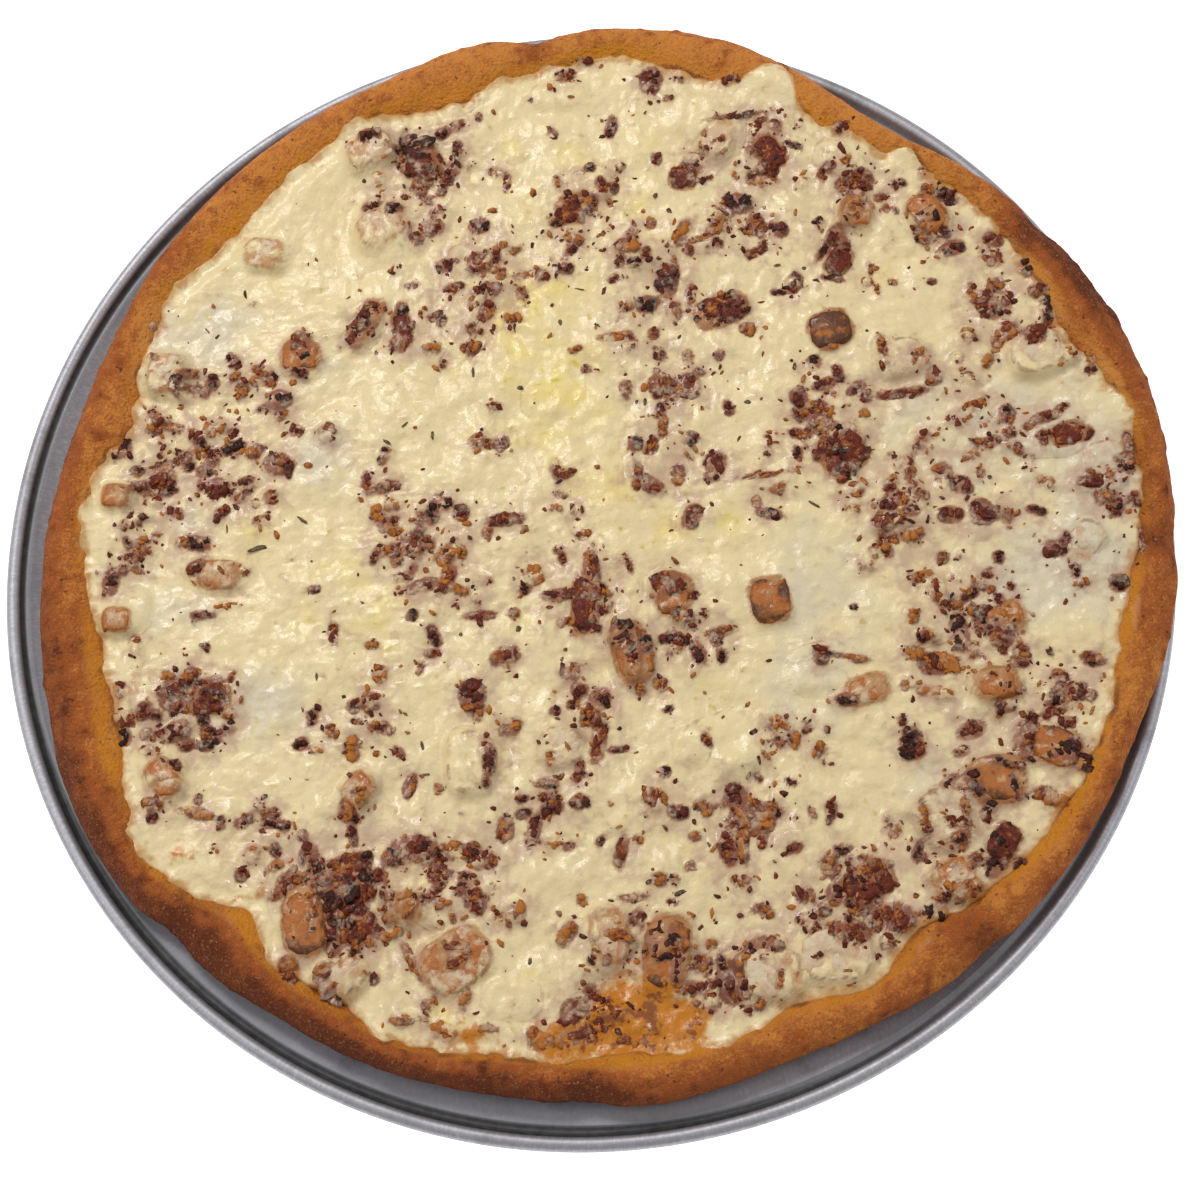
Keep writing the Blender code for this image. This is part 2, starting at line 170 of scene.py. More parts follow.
# How brown each chicken cube is, and so how much of it the cheese leaves bare, in the order of the nodes
CHICKEN_TONES = (
    1.12, 0.92, 0.15, 0.50, 0.18, 0.28, 0.95, 0.82, 0.30, 0.52, 0.10, 0.08, 0.62, 0.90, 0.85, 0.15, 0.12, 0.55,
    0.62, 0.70, 0.30, 0.35, 0.35, 0.60, 0.55, 0.20, 0.58, 0.75, 0.70, 0.55, 0.78, 0.92, 0.22, 0.35, 0.50, 0.75,
    0.30,
)

# Bacon bits that show in the photograph: middle across and down, width across and down, in its pixels, and a turn
MAROON = (
    (143, 308, 22, 20, 0), (191, 375, 14, 9, 20), (197, 392, 20, 10, -20), (197, 438, 18, 14, -40),
    (155, 422, 16, 14, 0), (279, 463, 30, 20, -10), (162, 476, 28, 26, -30), (271, 497, 13, 14, 0),
    (256, 503, 8, 8, 0), (132, 522, 25, 12, 35), (155, 537, 9, 9, 0), (197, 568, 20, 14, 30), (243, 570, 14, 8, -50),
    (302, 347, 18, 28, 20), (296, 428, 15, 11, -20), (327, 434, 18, 20, 0), (315, 589, 9, 8, 0),
    (365, 329, 20, 44, -30), (399, 344, 19, 17, 0), (443, 362, 8, 8, 0), (472, 304, 8, 14, 10),
    (486, 311, 13, 22, -25), (474, 329, 12, 12, 20), (494, 406, 15, 8, 15), (378, 488, 26, 9, 25),
    (366, 480, 8, 18, 10), (390, 528, 24, 12, -20), (415, 547, 14, 48, -5), (428, 541, 13, 13, 0),
    (461, 512, 13, 18, 10), (403, 577, 18, 8, -10), (422, 585, 32, 12, 15), (505, 519, 34, 11, 5),
    (556, 469, 9, 19, 10), (567, 473, 14, 7, 30), (561, 494, 11, 7, -20), (577, 508, 13, 10, 0),
    (557, 547, 8, 6, 30), (482, 580, 18, 7, -5), (592, 572, 15, 40, 5), (628, 346, 12, 10, 30),
    (586, 368, 8, 9, 0), (625, 388, 11, 15, 10), (636, 474, 12, 26, 5), (629, 564, 5, 14, 20),
    (711, 314, 22, 24, 10), (731, 305, 30, 14, 10), (653, 332, 11, 11, 0), (659, 352, 13, 11, 0),
    (691, 384, 18, 25, 5), (659, 384, 22, 19, 0), (715, 461, 22, 20, -20), (711, 476, 14, 8, 0),
    (651, 484, 22, 14, -20), (692, 516, 17, 24, -25), (768, 445, 8, 20, 5), (762, 474, 44, 4, 8),
    (826, 383, 24, 10, 20), (838, 374, 9, 20, 10), (799, 396, 16, 17, 30), (801, 413, 17, 13, 0),
    (850, 440, 34, 22, 35), (822, 451, 22, 19, 20), (845, 470, 11, 28, -25), (866, 394, 12, 14, 0),
    (883, 350, 7, 18, 10), (903, 391, 44, 8, 6), (935, 376, 16, 17, -20), (923, 438, 18, 18, 30),
    (910, 472, 9, 9, 0), (891, 484, 12, 12, 0), (889, 520, 32, 18, 20), (669, 585, 32, 24, 0),
    (953, 420, 13, 9, -20), (1046, 417, 25, 10, 15), (1083, 433, 18, 17, 0), (993, 441, 15, 10, 30),
    (1127, 445, 11, 22, 0), (1125, 458, 22, 7, 15), (943, 470, 18, 18, 20), (960, 483, 19, 16, 0),
    (1096, 483, 36, 12, 5), (951, 514, 23, 16, 0), (983, 512, 22, 26, 10), (1002, 514, 22, 14, -25),
    (943, 556, 10, 11, 0), (962, 554, 8, 8, 0), (1056, 548, 23, 16, 0), (1142, 545, 5, 34, 3),
    (1150, 508, 5, 8, 0), (989, 585, 13, 10, -20), (939, 592, 15, 28, 10), (999, 598, 10, 10, 0),
    (1002, 636, 24, 20, 20), (1022, 655, 16, 22, -10), (974, 648, 7, 15, -10), (1092, 659, 20, 10, -20),
    (135, 647, 11, 20, 5), (124, 718, 24, 15, 0), (176, 693, 26, 36, -30), (191, 674, 16, 14, 0),
    (218, 697, 20, 14, -20), (174, 733, 32, 18, 25), (208, 733, 14, 14, 0), (151, 752, 20, 10, 0),
    (197, 799, 7, 8, 0), (259, 806, 12, 8, 20), (333, 632, 10, 22, 5), (220, 823, 8, 12, 0),
    (202, 614, 20, 7, 0), (241, 875, 12, 12, 0), (289, 881, 22, 18, 20), (302, 835, 9, 10, 0),
    (308, 853, 15, 20, -20), (343, 868, 38, 22, 15), (364, 860, 15, 15, 0), (348, 906, 38, 28, 0),
    (358, 927, 36, 28, 10), (279, 895, 16, 11, 0), (289, 973, 18, 27, 0), (327, 981, 22, 30, 0),
    (379, 881, 13, 22, 10), (388, 896, 14, 8, 0), (411, 849, 42, 24, 10), (440, 875, 17, 20, 0),
    (469, 849, 15, 13, 0), (480, 857, 24, 20, 10), (475, 900, 17, 20, 0), (480, 614, 28, 7, 0),
    (514, 612, 10, 9, 0), (432, 651, 15, 9, 0), (505, 655, 28, 17, 15), (472, 695, 25, 29, 0),
    (371, 702, 16, 16, 0), (353, 706, 12, 12, 0), (347, 811, 15, 20, 20), (490, 762, 11, 26, -5),
    (487, 784, 7, 7, 0), (579, 771, 8, 20, -10), (570, 672, 18, 17, 0), (579, 689, 15, 13, 0),
    (591, 714, 18, 22, 10), (598, 743, 13, 38, -5), (554, 595, 26, 10, 0), (575, 593, 30, 14, 5),
    (590, 602, 20, 42, 0), (593, 626, 14, 9, 10), (552, 808, 20, 11, 10), (579, 802, 17, 11, 20),
    (533, 831, 11, 34, -12), (568, 845, 9, 7, 0), (621, 852, 10, 28, -8), (686, 616, 14, 12, 0),
    (722, 630, 24, 8, 10), (655, 800, 23, 22, 0), (678, 812, 18, 13, 0), (728, 850, 14, 28, 10),
    (736, 796, 20, 22, 0), (760, 819, 28, 32, 0), (762, 842, 8, 12, 0), (831, 811, 10, 16, -10),
    (822, 656, 15, 17, 0), (933, 662, 28, 20, 0), (902, 719, 8, 12, 0), (889, 819, 9, 11, 0),
    (866, 873, 34, 32, -10), (843, 852, 16, 4, 30), (1006, 704, 20, 14, 10), (972, 729, 27, 15, 20),
    (962, 750, 14, 8, 30), (1026, 740, 22, 34, 0), (1031, 721, 13, 17, 0), (1067, 694, 15, 8, 35),
    (1066, 723, 15, 11, 0), (951, 782, 19, 12, 30), (1020, 863, 14, 10, 0), (899, 918, 32, 24, -20),
    (476, 902, 17, 19, 0), (636, 923, 14, 22, -15), (592, 961, 8, 9, 0), (607, 960, 8, 8, 0),
    (653, 939, 14, 16, 0), (691, 988, 26, 12, 0), (711, 1004, 11, 17, 0), (575, 1019, 28, 36, 0),
    (613, 1013, 28, 13, -5), (423, 160, 28, 44, 5), (408, 142, 17, 13, 0), (458, 127, 15, 9, 20),
    (536, 60, 16, 13, -10), (584, 61, 17, 9, 0), (479, 119, 7, 7, 0), (553, 135, 9, 12, 0),
    (458, 150, 9, 14, 0), (498, 171, 22, 9, -20), (506, 180, 7, 14, 0), (431, 227, 26, 18, 15),
    (417, 238, 12, 13, 0), (475, 263, 14, 20, -15), (396, 266, 10, 6, 20), (454, 286, 20, 11, 10),
    (412, 284, 12, 6, 0), (521, 292, 11, 12, 0), (542, 274, 14, 11, 0), (569, 207, 28, 26, 10),
    (586, 200, 13, 22, 0), (601, 185, 10, 16, 10), (614, 187, 8, 9, 0), (647, 253, 9, 11, 0),
    (613, 278, 11, 8, 20), (651, 81, 22, 30, 0), (656, 158, 10, 12, 0), (694, 161, 24, 24, 0),
    (731, 81, 19, 12, 10), (759, 131, 22, 34, 0), (775, 129, 13, 17, 0), (768, 168, 22, 20, 10),
    (754, 152, 16, 14, 0), (736, 118, 46, 4, 10), (799, 125, 8, 9, 0), (838, 129, 14, 16, -30),
    (850, 127, 16, 8, 30), (829, 169, 11, 8, 20), (863, 181, 20, 20, 0), (922, 173, 8, 8, 0),
    (756, 219, 14, 15, 0), (780, 228, 16, 14, 0), (838, 244, 20, 40, 10), (668, 278, 22, 38, -10),
    (691, 292, 9, 16, 0), (500, 448, 5, 5, 0), (868, 925, 8, 18, -10), (846, 933, 36, 17, -15),
    (819, 910, 24, 11, 35), (806, 895, 16, 14, 0), (804, 919, 14, 10, 0), (814, 930, 12, 12, 0),
    (887, 942, 13, 13, 0), (732, 983, 26, 40, 10), (764, 944, 22, 13, 0), (777, 948, 12, 10, 0),
    (745, 1004, 10, 10, 0), (728, 845, 13, 24, 0), (991, 259, 23, 15, -10), (993, 239, 18, 13, 0),
    (986, 302, 22, 26, 10), (1003, 303, 18, 24, -20), (1040, 292, 22, 11, 10), (1034, 339, 20, 20, 0),
    (959, 358, 8, 9, 0), (969, 377, 17, 9, -10), (1090, 483, 20, 12, 0), (1135, 500, 10, 14, 0), (668, 100, 9, 7, 0),
    (216, 487, 24, 18, 10), (238, 495, 18, 15, -20), (188, 455, 20, 15, 20), (152, 500, 18, 13, 0),
    (222, 512, 14, 10, 20), (176, 512, 16, 10, -20), (140, 487, 14, 12, 0), (262, 520, 16, 9, 10),
    (120, 690, 12, 14, 0), (146, 712, 14, 16, 0), (186, 745, 16, 10, 20), (215, 680, 14, 10, 0),
    (322, 890, 18, 22, 10), (365, 895, 20, 16, 0), (350, 940, 22, 16, -20), (372, 935, 14, 18, 0),
)
DARK = (
    (178, 382, 14, 10, 0), (212, 382, 14, 14, 0), (233, 447, 24, 12, 15), (138, 472, 12, 9, 0), (250, 485, 10, 12, 0),
    (197, 543, 24, 13, -5), (122, 451, 20, 16, 20), (111, 585, 14, 22, 0), (298, 371, 20, 10, -20),
    (279, 399, 22, 19, 0), (401, 317, 14, 30, 0), (504, 441, 9, 10, 0), (383, 455, 9, 16, -20),
    (432, 512, 12, 21, 0), (444, 503, 16, 12, 20), (524, 587, 9, 12, 0), (635, 442, 12, 12, 0),
    (648, 305, 16, 12, 0), (690, 438, 14, 14, -30), (770, 512, 24, 9, -15), (814, 361, 12, 14, 0),
    (812, 415, 12, 9, 0), (833, 425, 17, 8, 0), (852, 390, 10, 6, 40), (694, 595, 8, 9, 0),
    (1007, 413, 14, 17, 0), (1125, 470, 14, 8, 0), (1037, 509, 16, 7, -10), (999, 556, 10, 11, 0),
    (983, 613, 19, 14, 0), (1075, 571, 9, 14, 0), (1119, 583, 18, 15, 0), (1148, 573, 17, 26, 20),
    (960, 631, 16, 34, 5), (201, 691, 13, 20, 0), (228, 727, 12, 17, 0), (203, 719, 10, 10, 0),
    (157, 716, 10, 8, 0), (124, 737, 12, 14, 20), (176, 767, 10, 10, 0), (153, 819, 10, 9, 0),
    (243, 821, 16, 9, 40), (311, 716, 9, 16, 0), (300, 743, 13, 10, 30), (339, 889, 44, 34, 0),
    (331, 927, 15, 26, 0), (333, 946, 14, 18, 0), (318, 864, 13, 11, 0), (390, 858, 16, 16, 0),
    (375, 979, 7, 8, 0), (352, 834, 7, 20, 10), (412, 614, 9, 10, -30), (434, 635, 10, 20, 20),
    (600, 697, 19, 18, 0), (617, 749, 12, 4, 0), (571, 704, 7, 7, 0), (556, 710, 7, 7, 0), (623, 634, 24, 24, 0),
    (633, 651, 18, 20, 0), (549, 783, 17, 8, -20), (523, 799, 8, 4, 30), (705, 612, 6, 7, 0),
    (671, 637, 20, 11, 0), (646, 645, 12, 16, 0), (698, 652, 12, 22, 20), (722, 655, 8, 11, 0),
    (665, 771, 9, 10, 0), (833, 655, 12, 4, -10), (847, 700, 17, 10, 0), (912, 744, 20, 26, 0),
    (854, 605, 6, 5, 0), (1004, 687, 10, 9, 0), (1060, 704, 15, 15, 0), (1062, 752, 34, 22, 15),
    (1083, 763, 17, 17, 0), (1095, 662, 16, 6, 0), (976, 784, 17, 24, 20), (989, 811, 15, 20, -20),
    (1004, 763, 24, 9, -10), (1014, 790, 9, 18, 10), (995, 867, 21, 18, 30), (932, 915, 24, 17, 20),
    (466, 879, 12, 13, 0), (674, 879, 8, 8, 0), (690, 865, 7, 7, 0), (667, 944, 28, 38, 0), (676, 967, 10, 34, 0),
    (835, 894, 12, 17, 10), (454, 167, 15, 13, 0), (469, 162, 13, 6, 10), (392, 211, 14, 11, 0),
    (371, 207, 16, 10, 0), (423, 196, 22, 5, -40), (479, 225, 20, 16, 0), (444, 264, 16, 14, -20),
    (490, 290, 21, 13, 0), (565, 267, 15, 10, 0), (557, 222, 14, 5, 0), (590, 168, 10, 10, 0),
    (635, 263, 13, 9, 20), (647, 303, 20, 16, 10), (611, 125, 10, 22, -10), (679, 80, 9, 6, 0),
    (792, 145, 15, 5, -20), (899, 185, 12, 7, 0), (947, 194, 28, 26, -30), (928, 219, 18, 16, 0),
    (953, 248, 22, 15, 20), (736, 202, 26, 22, -20), (818, 219, 10, 8, 40), (823, 249, 6, 20, -30),
    (794, 282, 15, 20, -30), (779, 290, 12, 5, 0), (832, 278, 18, 4, -10), (371, 142, 20, 15, 0),
    (442, 135, 14, 9, 20), (839, 848, 7, 4, 0), (919, 850, 5, 14, -15), (745, 990, 12, 16, 0),
    (1028, 269, 15, 18, 0), (1045, 310, 10, 30, 0), (1068, 322, 20, 9, 10), (1090, 371, 9, 8, 0), (994, 312, 18, 12, 0),
    (331, 905, 20, 18, 0), (357, 880, 22, 15, 10), (345, 925, 18, 12, 0), (290, 985, 14, 16, 0), (333, 1000, 16, 14, 0),
    (205, 470, 14, 12, 0), (245, 480, 14, 9, 10), (165, 490, 14, 10, 0), (205, 745, 14, 10, 0),
)
ORANGE = (
    (147, 325, 20, 16, 0), (172, 428, 20, 9, -20), (214, 430, 20, 15, 0), (252, 451, 15, 13, 0),
    (182, 541, 13, 10, 0), (254, 378, 18, 18, 0), (241, 390, 13, 10, 0), (432, 348, 22, 10, 0),
    (470, 346, 18, 14, 0), (513, 317, 16, 12, 0), (478, 440, 14, 14, 20), (492, 444, 14, 8, 0),
    (378, 514, 14, 22, 30), (391, 504, 14, 12, 0), (384, 551, 22, 12, 10), (447, 553, 28, 20, 20),
    (462, 552, 8, 12, 0), (447, 577, 15, 26, -10), (460, 589, 18, 9, -30), (487, 533, 9, 14, -20),
    (556, 507, 11, 8, 0), (583, 533, 14, 10, 20), (533, 574, 20, 20, 20), (591, 558, 14, 14, 0),
    (615, 335, 34, 8, 8), (575, 348, 12, 6, 20), (674, 310, 15, 19, 0), (748, 327, 15, 12, -20),
    (688, 354, 11, 11, 0), (663, 426, 8, 20, 0), (650, 447, 14, 12, 0), (678, 473, 12, 20, 0),
    (778, 487, 18, 8, 30), (757, 501, 9, 11, 0), (812, 406, 10, 14, 0), (820, 424, 13, 13, 30),
    (864, 413, 9, 8, 0), (917, 357, 5, 18, -40), (904, 459, 19, 9, 20), (856, 490, 17, 17, 0),
    (854, 505, 16, 14, -20), (913, 533, 20, 13, 10), (879, 549, 22, 12, 30), (866, 564, 14, 12, 0),
    (919, 575, 26, 9, 10), (974, 407, 16, 28, -40), (972, 453, 15, 8, 20), (1046, 481, 17, 12, -10),
    (1081, 583, 14, 9, 0), (953, 604, 12, 8, 0), (913, 617, 10, 12, 0), (1010, 619, 20, 11, -25),
    (913, 652, 20, 12, 0), (939, 663, 36, 20, 0), (229, 710, 15, 15, 30), (149, 735, 14, 12, 0),
    (197, 813, 30, 9, -10), (153, 806, 18, 13, 0), (329, 729, 9, 13, 0), (315, 750, 14, 7, 0), (227, 605, 20, 7, 0),
    (252, 857, 13, 18, 20), (274, 866, 17, 8, 30), (390, 933, 26, 10, 20), (406, 906, 20, 20, 30),
    (452, 849, 10, 18, 0), (440, 904, 8, 8, 0), (455, 952, 24, 28, 10), (465, 996, 11, 22, 0),
    (411, 960, 8, 34, 30), (429, 1004, 14, 12, 0), (404, 1020, 22, 8, 0), (476, 599, 9, 9, 0),
    (371, 644, 12, 6, 0), (478, 714, 10, 12, 0), (510, 727, 24, 13, 35), (380, 674, 14, 17, 0),
    (353, 748, 14, 22, 0), (409, 785, 11, 22, -15), (361, 796, 14, 15, 0), (438, 789, 9, 10, 0),
    (548, 741, 8, 8, 0), (551, 760, 8, 12, 0), (570, 621, 24, 9, 10), (604, 593, 14, 9, 0), (635, 668, 15, 15, 0),
    (505, 829, 15, 24, 0), (637, 838, 10, 7, 0), (554, 844, 22, 6, 0), (661, 684, 14, 12, 0),
    (695, 836, 10, 8, 0), (743, 832, 9, 56, 2), (772, 806, 8, 14, 0), (780, 721, 22, 10, -30),
    (796, 739, 7, 17, 0), (820, 748, 15, 16, -20), (856, 658, 20, 6, -5), (913, 620, 9, 10, 0),
    (927, 635, 14, 12, 0), (905, 685, 8, 8, 0), (935, 691, 34, 11, -8), (896, 831, 10, 12, -30),
    (925, 821, 5, 26, 10), (966, 813, 6, 38, 8), (829, 866, 13, 16, 0), (764, 910, 18, 10, -20), (739, 879, 11, 9, 0),
    (659, 879, 12, 12, 0), (515, 914, 20, 17, 20), (496, 919, 16, 6, 0), (582, 900, 9, 9, 0), (632, 898, 18, 5, 0),
    (741, 881, 14, 12, 0), (567, 935, 14, 22, -30), (619, 937, 26, 10, -10), (632, 965, 15, 16, 20),
    (747, 960, 22, 12, 10), (487, 1029, 18, 5, 0), (546, 1042, 32, 18, -10), (379, 179, 14, 14, 0),
    (383, 196, 6, 16, 0), (463, 89, 24, 12, 20), (503, 244, 9, 5, 0), (523, 274, 22, 6, 10),
    (572, 238, 20, 10, -20), (557, 181, 7, 13, 20), (628, 247, 22, 14, -20), (632, 230, 13, 8, 20),
    (651, 221, 9, 12, 0), (626, 305, 14, 10, -20), (769, 181, 22, 10, 0), (804, 183, 9, 14, -20),
    (855, 207, 20, 30, -20), (717, 223, 12, 22, 10), (681, 234, 13, 28, -25), (700, 240, 22, 5, 10),
    (868, 280, 11, 8, -20), (878, 288, 6, 10, 0), (893, 280, 6, 5, 0), (928, 194, 12, 16, 0), (444, 1032, 26, 16, 0),
    (779, 981, 7, 14, 0), (962, 888, 34, 20, 5), (1052, 797, 34, 14, -20), (995, 285, 16, 15, 0),
    (1012, 333, 16, 18, 0), (1066, 358, 12, 15, 0), (1090, 361, 13, 13, 0), (968, 335, 13, 15, 0),
    (997, 338, 11, 17, 0),
    (987, 361, 9, 15, -20), (882, 347, 9, 18, 10), (920, 358, 8, 18, 30), (974, 297, 9, 22, 20),
    (1049, 325, 9, 12, 0),
)
# Flecks of herb, in the same terms
HERBS = (
    (258, 547, 28, 6, 15), (302, 519, 16, 4, -35), (227, 531, 3, 20, 10), (405, 424, 12, 3, 40),
    (520, 387, 9, 5, 0), (386, 441, 14, 4, -30), (560, 321, 5, 9, 15), (748, 401, 8, 6, 0), (680, 892, 16, 6, 20),
    (460, 633, 5, 6, 0), (518, 628, 7, 8, 0), (457, 686, 6, 3, 0), (391, 749, 14, 3, -35), (422, 746, 4, 16, 15),
    (425, 774, 12, 3, 5), (777, 264, 10, 4, 10), (804, 267, 6, 5, 0), (580, 287, 16, 2, -15), (473, 372, 4, 12, 5),
    (432, 434, 4, 10, 0), (813, 502, 22, 3, -30), (439, 312, 12, 2, -20), (311, 560, 3, 3, 0), (316, 676, 3, 12, 5),
    (645, 401, 4, 10, 0), (530, 962, 5, 9, 0), (668, 706, 6, 3, 0), (709, 845, 3, 8, 30), (990, 475, 6, 5, 0),
    (741, 564, 3, 3, 0),
)
# Lumps of chicken that lie right under the cheese, in the same terms
HIDDEN = (
    (383, 240, 60, 50, 0), (450, 103, 62, 36, 15), (412, 118, 46, 34, 10), (822, 668, 66, 52, 10),
    (728, 745, 84, 66, 20), (1097, 628, 46, 50, 0), (285, 977, 30, 40, 0), (590, 182, 48, 40, 0),
    (718, 132, 60, 44, 0), (700, 235, 50, 40, 0), (440, 905, 50, 44, 0), (1108, 470, 44, 56, 10),
    (150, 700, 50, 60, 10), (130, 610, 46, 50, 0), (560, 96, 60, 34, 0), (330, 350, 44, 44, 0),
    (925, 620, 60, 46, 0), (845, 160, 66, 40, -20), (470, 260, 50, 36, -10), (690, 745, 40, 40, 0),
    (1045, 430, 80, 56, 0), (640, 250, 50, 40, 0), (590, 950, 60, 60, 0), (800, 850, 60, 50, 0),
    (165, 372, 50, 34, 5), (545, 400, 50, 34, 0), (905, 505, 50, 44, 0), (510, 1000, 60, 40, 0),
)
# Where small crumbs lie thick: middle across and down, reach, in pixels of the photograph, and how many
CRUMB_SPOTS = (
    (160, 420, 40, 34), (215, 460, 60, 60), (190, 700, 50, 50), (330, 890, 60, 56), (430, 870, 60, 46),
    (410, 540, 50, 46), (590, 600, 40, 26), (680, 390, 60, 44), (820, 420, 60, 60), (900, 500, 60, 60),
    (980, 620, 60, 62), (1060, 690, 60, 52), (1110, 500, 50, 40), (740, 220, 80, 66), (860, 190, 80, 56),
    (430, 180, 50, 46), (500, 270, 70, 46), (600, 240, 60, 40), (680, 640, 50, 40), (590, 710, 40, 24),
    (560, 800, 60, 26), (740, 820, 50, 36), (860, 900, 70, 60), (960, 840, 70, 40), (700, 960, 70, 44),
    (480, 900, 60, 30), (370, 720, 50, 24), (270, 820, 60, 26), (1010, 430, 70, 40), (600, 1010, 60, 36),
    (240, 380, 70, 34), (940, 230, 50, 34), (560, 70, 60, 30), (780, 740, 60, 30), (130, 560, 40, 26),
)
# Pools of butterfat, paler skins and patches of oil: middle across and down and reach in pixels, and how strong
YELLOW_POOLS = (
    (565, 400, 75, 1.0), (540, 300, 55, 0.8), (600, 190, 70, 0.7), (640, 510, 60, 0.8), (500, 150, 50, 0.6),
    (330, 600, 75, 0.5), (700, 690, 70, 0.5), (740, 540, 60, 0.45), (250, 520, 45, 0.5), (870, 560, 55, 0.35),
    (630, 60, 50, 0.5), (480, 330, 50, 0.5), (520, 640, 60, 0.4), (520, 980, 50, 0.5), (460, 420, 60, 0.4),
    (690, 850, 60, 0.4), (390, 620, 60, 0.4), (270, 270, 40, 0.4), (880, 260, 45, 0.5), (440, 1010, 40, 0.5),
)
PALE_SKINS = (
    (950, 420, 80, 0.9), (1090, 560, 70, 1.0), (960, 230, 60, 0.7), (190, 330, 60, 0.8), (230, 730, 50, 0.8),
    (310, 360, 50, 0.5), (180, 500, 50, 0.7), (320, 460, 40, 0.8), (830, 580, 60, 0.7), (1080, 420, 60, 0.8),
    (820, 690, 50, 0.6), (1000, 570, 50, 0.6), (700, 190, 50, 0.5), (160, 620, 50, 0.6), (360, 830, 50, 0.6),
    (460, 800, 40, 0.5), (960, 780, 60, 0.6), (280, 700, 40, 0.6), (1120, 480, 50, 0.8), (860, 110, 50, 0.6),
)
OIL_PATCHES = (
    (650, 1020, 34, 1.2), (612, 1036, 26, 1.1), (690, 1030, 24, 0.8), (560, 1044, 26, 0.8), (470, 1036, 24, 0.6),
    (250, 900, 16, 0.5), (180, 850, 16, 0.5), (1052, 330, 14, 0.4), (1100, 760, 18, 0.6), (1060, 800, 16, 0.6),
    (960, 888, 22, 0.6), (140, 690, 14, 0.4), (110, 500, 12, 0.5), (620, 1000, 22, 0.7),
)
# Bits of bacon by how dark they are, from 0, amber fat, to 1, char
PHOTO_BITS = ((0.5, MAROON), (0.82, DARK), (0.14, ORANGE))
HEAP_SHADES = (0.15, 0.45, 0.5, 0.6, 0.82)
TOP_SHADES = (0.35, 0.5, 0.55, 0.65, 0.75, 0.9)
CRUMB_SHADES = (0.05, 0.15, 0.25, 0.4, 0.5, 0.55, 0.7)
CRUMB_SIZES = (0.5, 0.7, 0.9, 1.1, 1.4)  # in millimetres
BACON_TONE = 0.55
LARGE_BIT = 3.8 * MM  # half width from which a bit's lumps are rounder
SMALL_BIT = 0.9 * MM  # thickness of the smallest bits
CHICKEN_RELIEF = 0.85 * MM
BACON_RELIEF = 1.1 * MM
LUMP_SINK = 0.4 * MM  # how far the cheese on a lump starts below its top
HIDDEN_RISE = 1.9 * MM
LOOSE_CRUMBS = 130
SMUDGES = 900
SEED = 11

# Tints in the materials, beside those that a user can change
LIT_METAL = (0.58, 0.60, 0.68)
BRUSHED_METAL = (0.66, 0.67, 0.74)
TARNISH = (0.14, 0.13, 0.135)
WALL_SHADE = (0.19, 0.185, 0.205)
RING_SHADE = (0.040, 0.043, 0.040)
CRUST_SPECK = (0.07, 0.020, 0.008)
CRUST_FRINGE = (0.20, 0.065, 0.016)
CRUST_GRAIN = (0.80, 0.47, 0.19)
DULL_CHEESE = (0.60, 0.50, 0.34)
BUTTERFAT = (0.80, 0.64, 0.10)
BUTTER_SPECK = (0.62, 0.50, 0.05)
GREASY_CURD = (0.47, 0.300, 0.225)
BROWN_HALO = (0.40, 0.200, 0.120)
DEEP_HALO = (0.165, 0.046, 0.027)
TAN_SKIN = (0.50, 0.245, 0.095)
BROWN_SKIN = (0.36, 0.115, 0.030)
WINE_SKIN = (0.27, 0.085, 0.045)
CHEESE_RIND = (0.50, 0.225, 0.050)
LUMP_LINE = (0.27, 0.105, 0.040)
AMBER_OIL = (0.56, 0.195, 0.012)
BURNT_OIL = (0.22, 0.062, 0.020)
CHICKEN_CHAR = (0.100, 0.032, 0.013)
CHICKEN_FIBRE = (0.66, 0.31, 0.07)
CHICKEN_FILM = (0.73, 0.590, 0.400)
BACON_GLINT = (0.46, 0.12, 0.05)
BACON_FILM = (0.62, 0.450, 0.320)
HERB_DARK = (0.040, 0.028, 0.012)
HERB_LIGHT = (0.20, 0.13, 0.03)


def colour(name, description, default):
    """A colour that a user can change."""
    return FloatVectorProperty(
        name=name, description=description, subtype="COLOR", default=default, min=0, max=1
    )


class PanSettings(bpy.types.PropertyGroup):
    """Looks of the pan."""

    wall: colour("Wall", "Metal of the sloping wall", (0.34, 0.325, 0.35))
    bead: colour("Bead", "Metal of the rolled rim", (0.42, 0.41, 0.44))
    scratch: FloatProperty(
        name="Scratches", description="Depth of the brush marks", unit="LENGTH", default=0.00004, precision=6
    )


class CrustSettings(bpy.types.PropertyGroup):
    """Looks of the crust."""

    gold: colour("Gold", "Least baked dough", (0.67, 0.245, 0.048))
    brown: colour("Brown", "Well baked dough", (0.385, 0.100, 0.024))
    deep: colour("Deep brown", "Darkest dough", (0.145, 0.034, 0.014))
    oil: colour("Oil", "Oily inner slope", (0.66, 0.235, 0.013))
    relief: FloatProperty(name="Relief", description="Height of the dough's swellings", unit="LENGTH", default=0.0008)


class CheeseSettings(bpy.types.PropertyGroup):
    """Looks of the cheese."""

    cream: colour("Cream", "Most of the cheese", (0.84, 0.685, 0.385))
    yellow: colour("Yellow", "Pools of butterfat", (0.87, 0.69, 0.255))
    white: colour("White", "Pale cheese", (0.715, 0.630, 0.450))
    stain: colour("Stain", "Bacon fat in the cheese", (0.55, 0.355, 0.245))
    relief: FloatProperty(name="Relief", description="Height of the cheese's ripples", unit="LENGTH", default=0.0008)


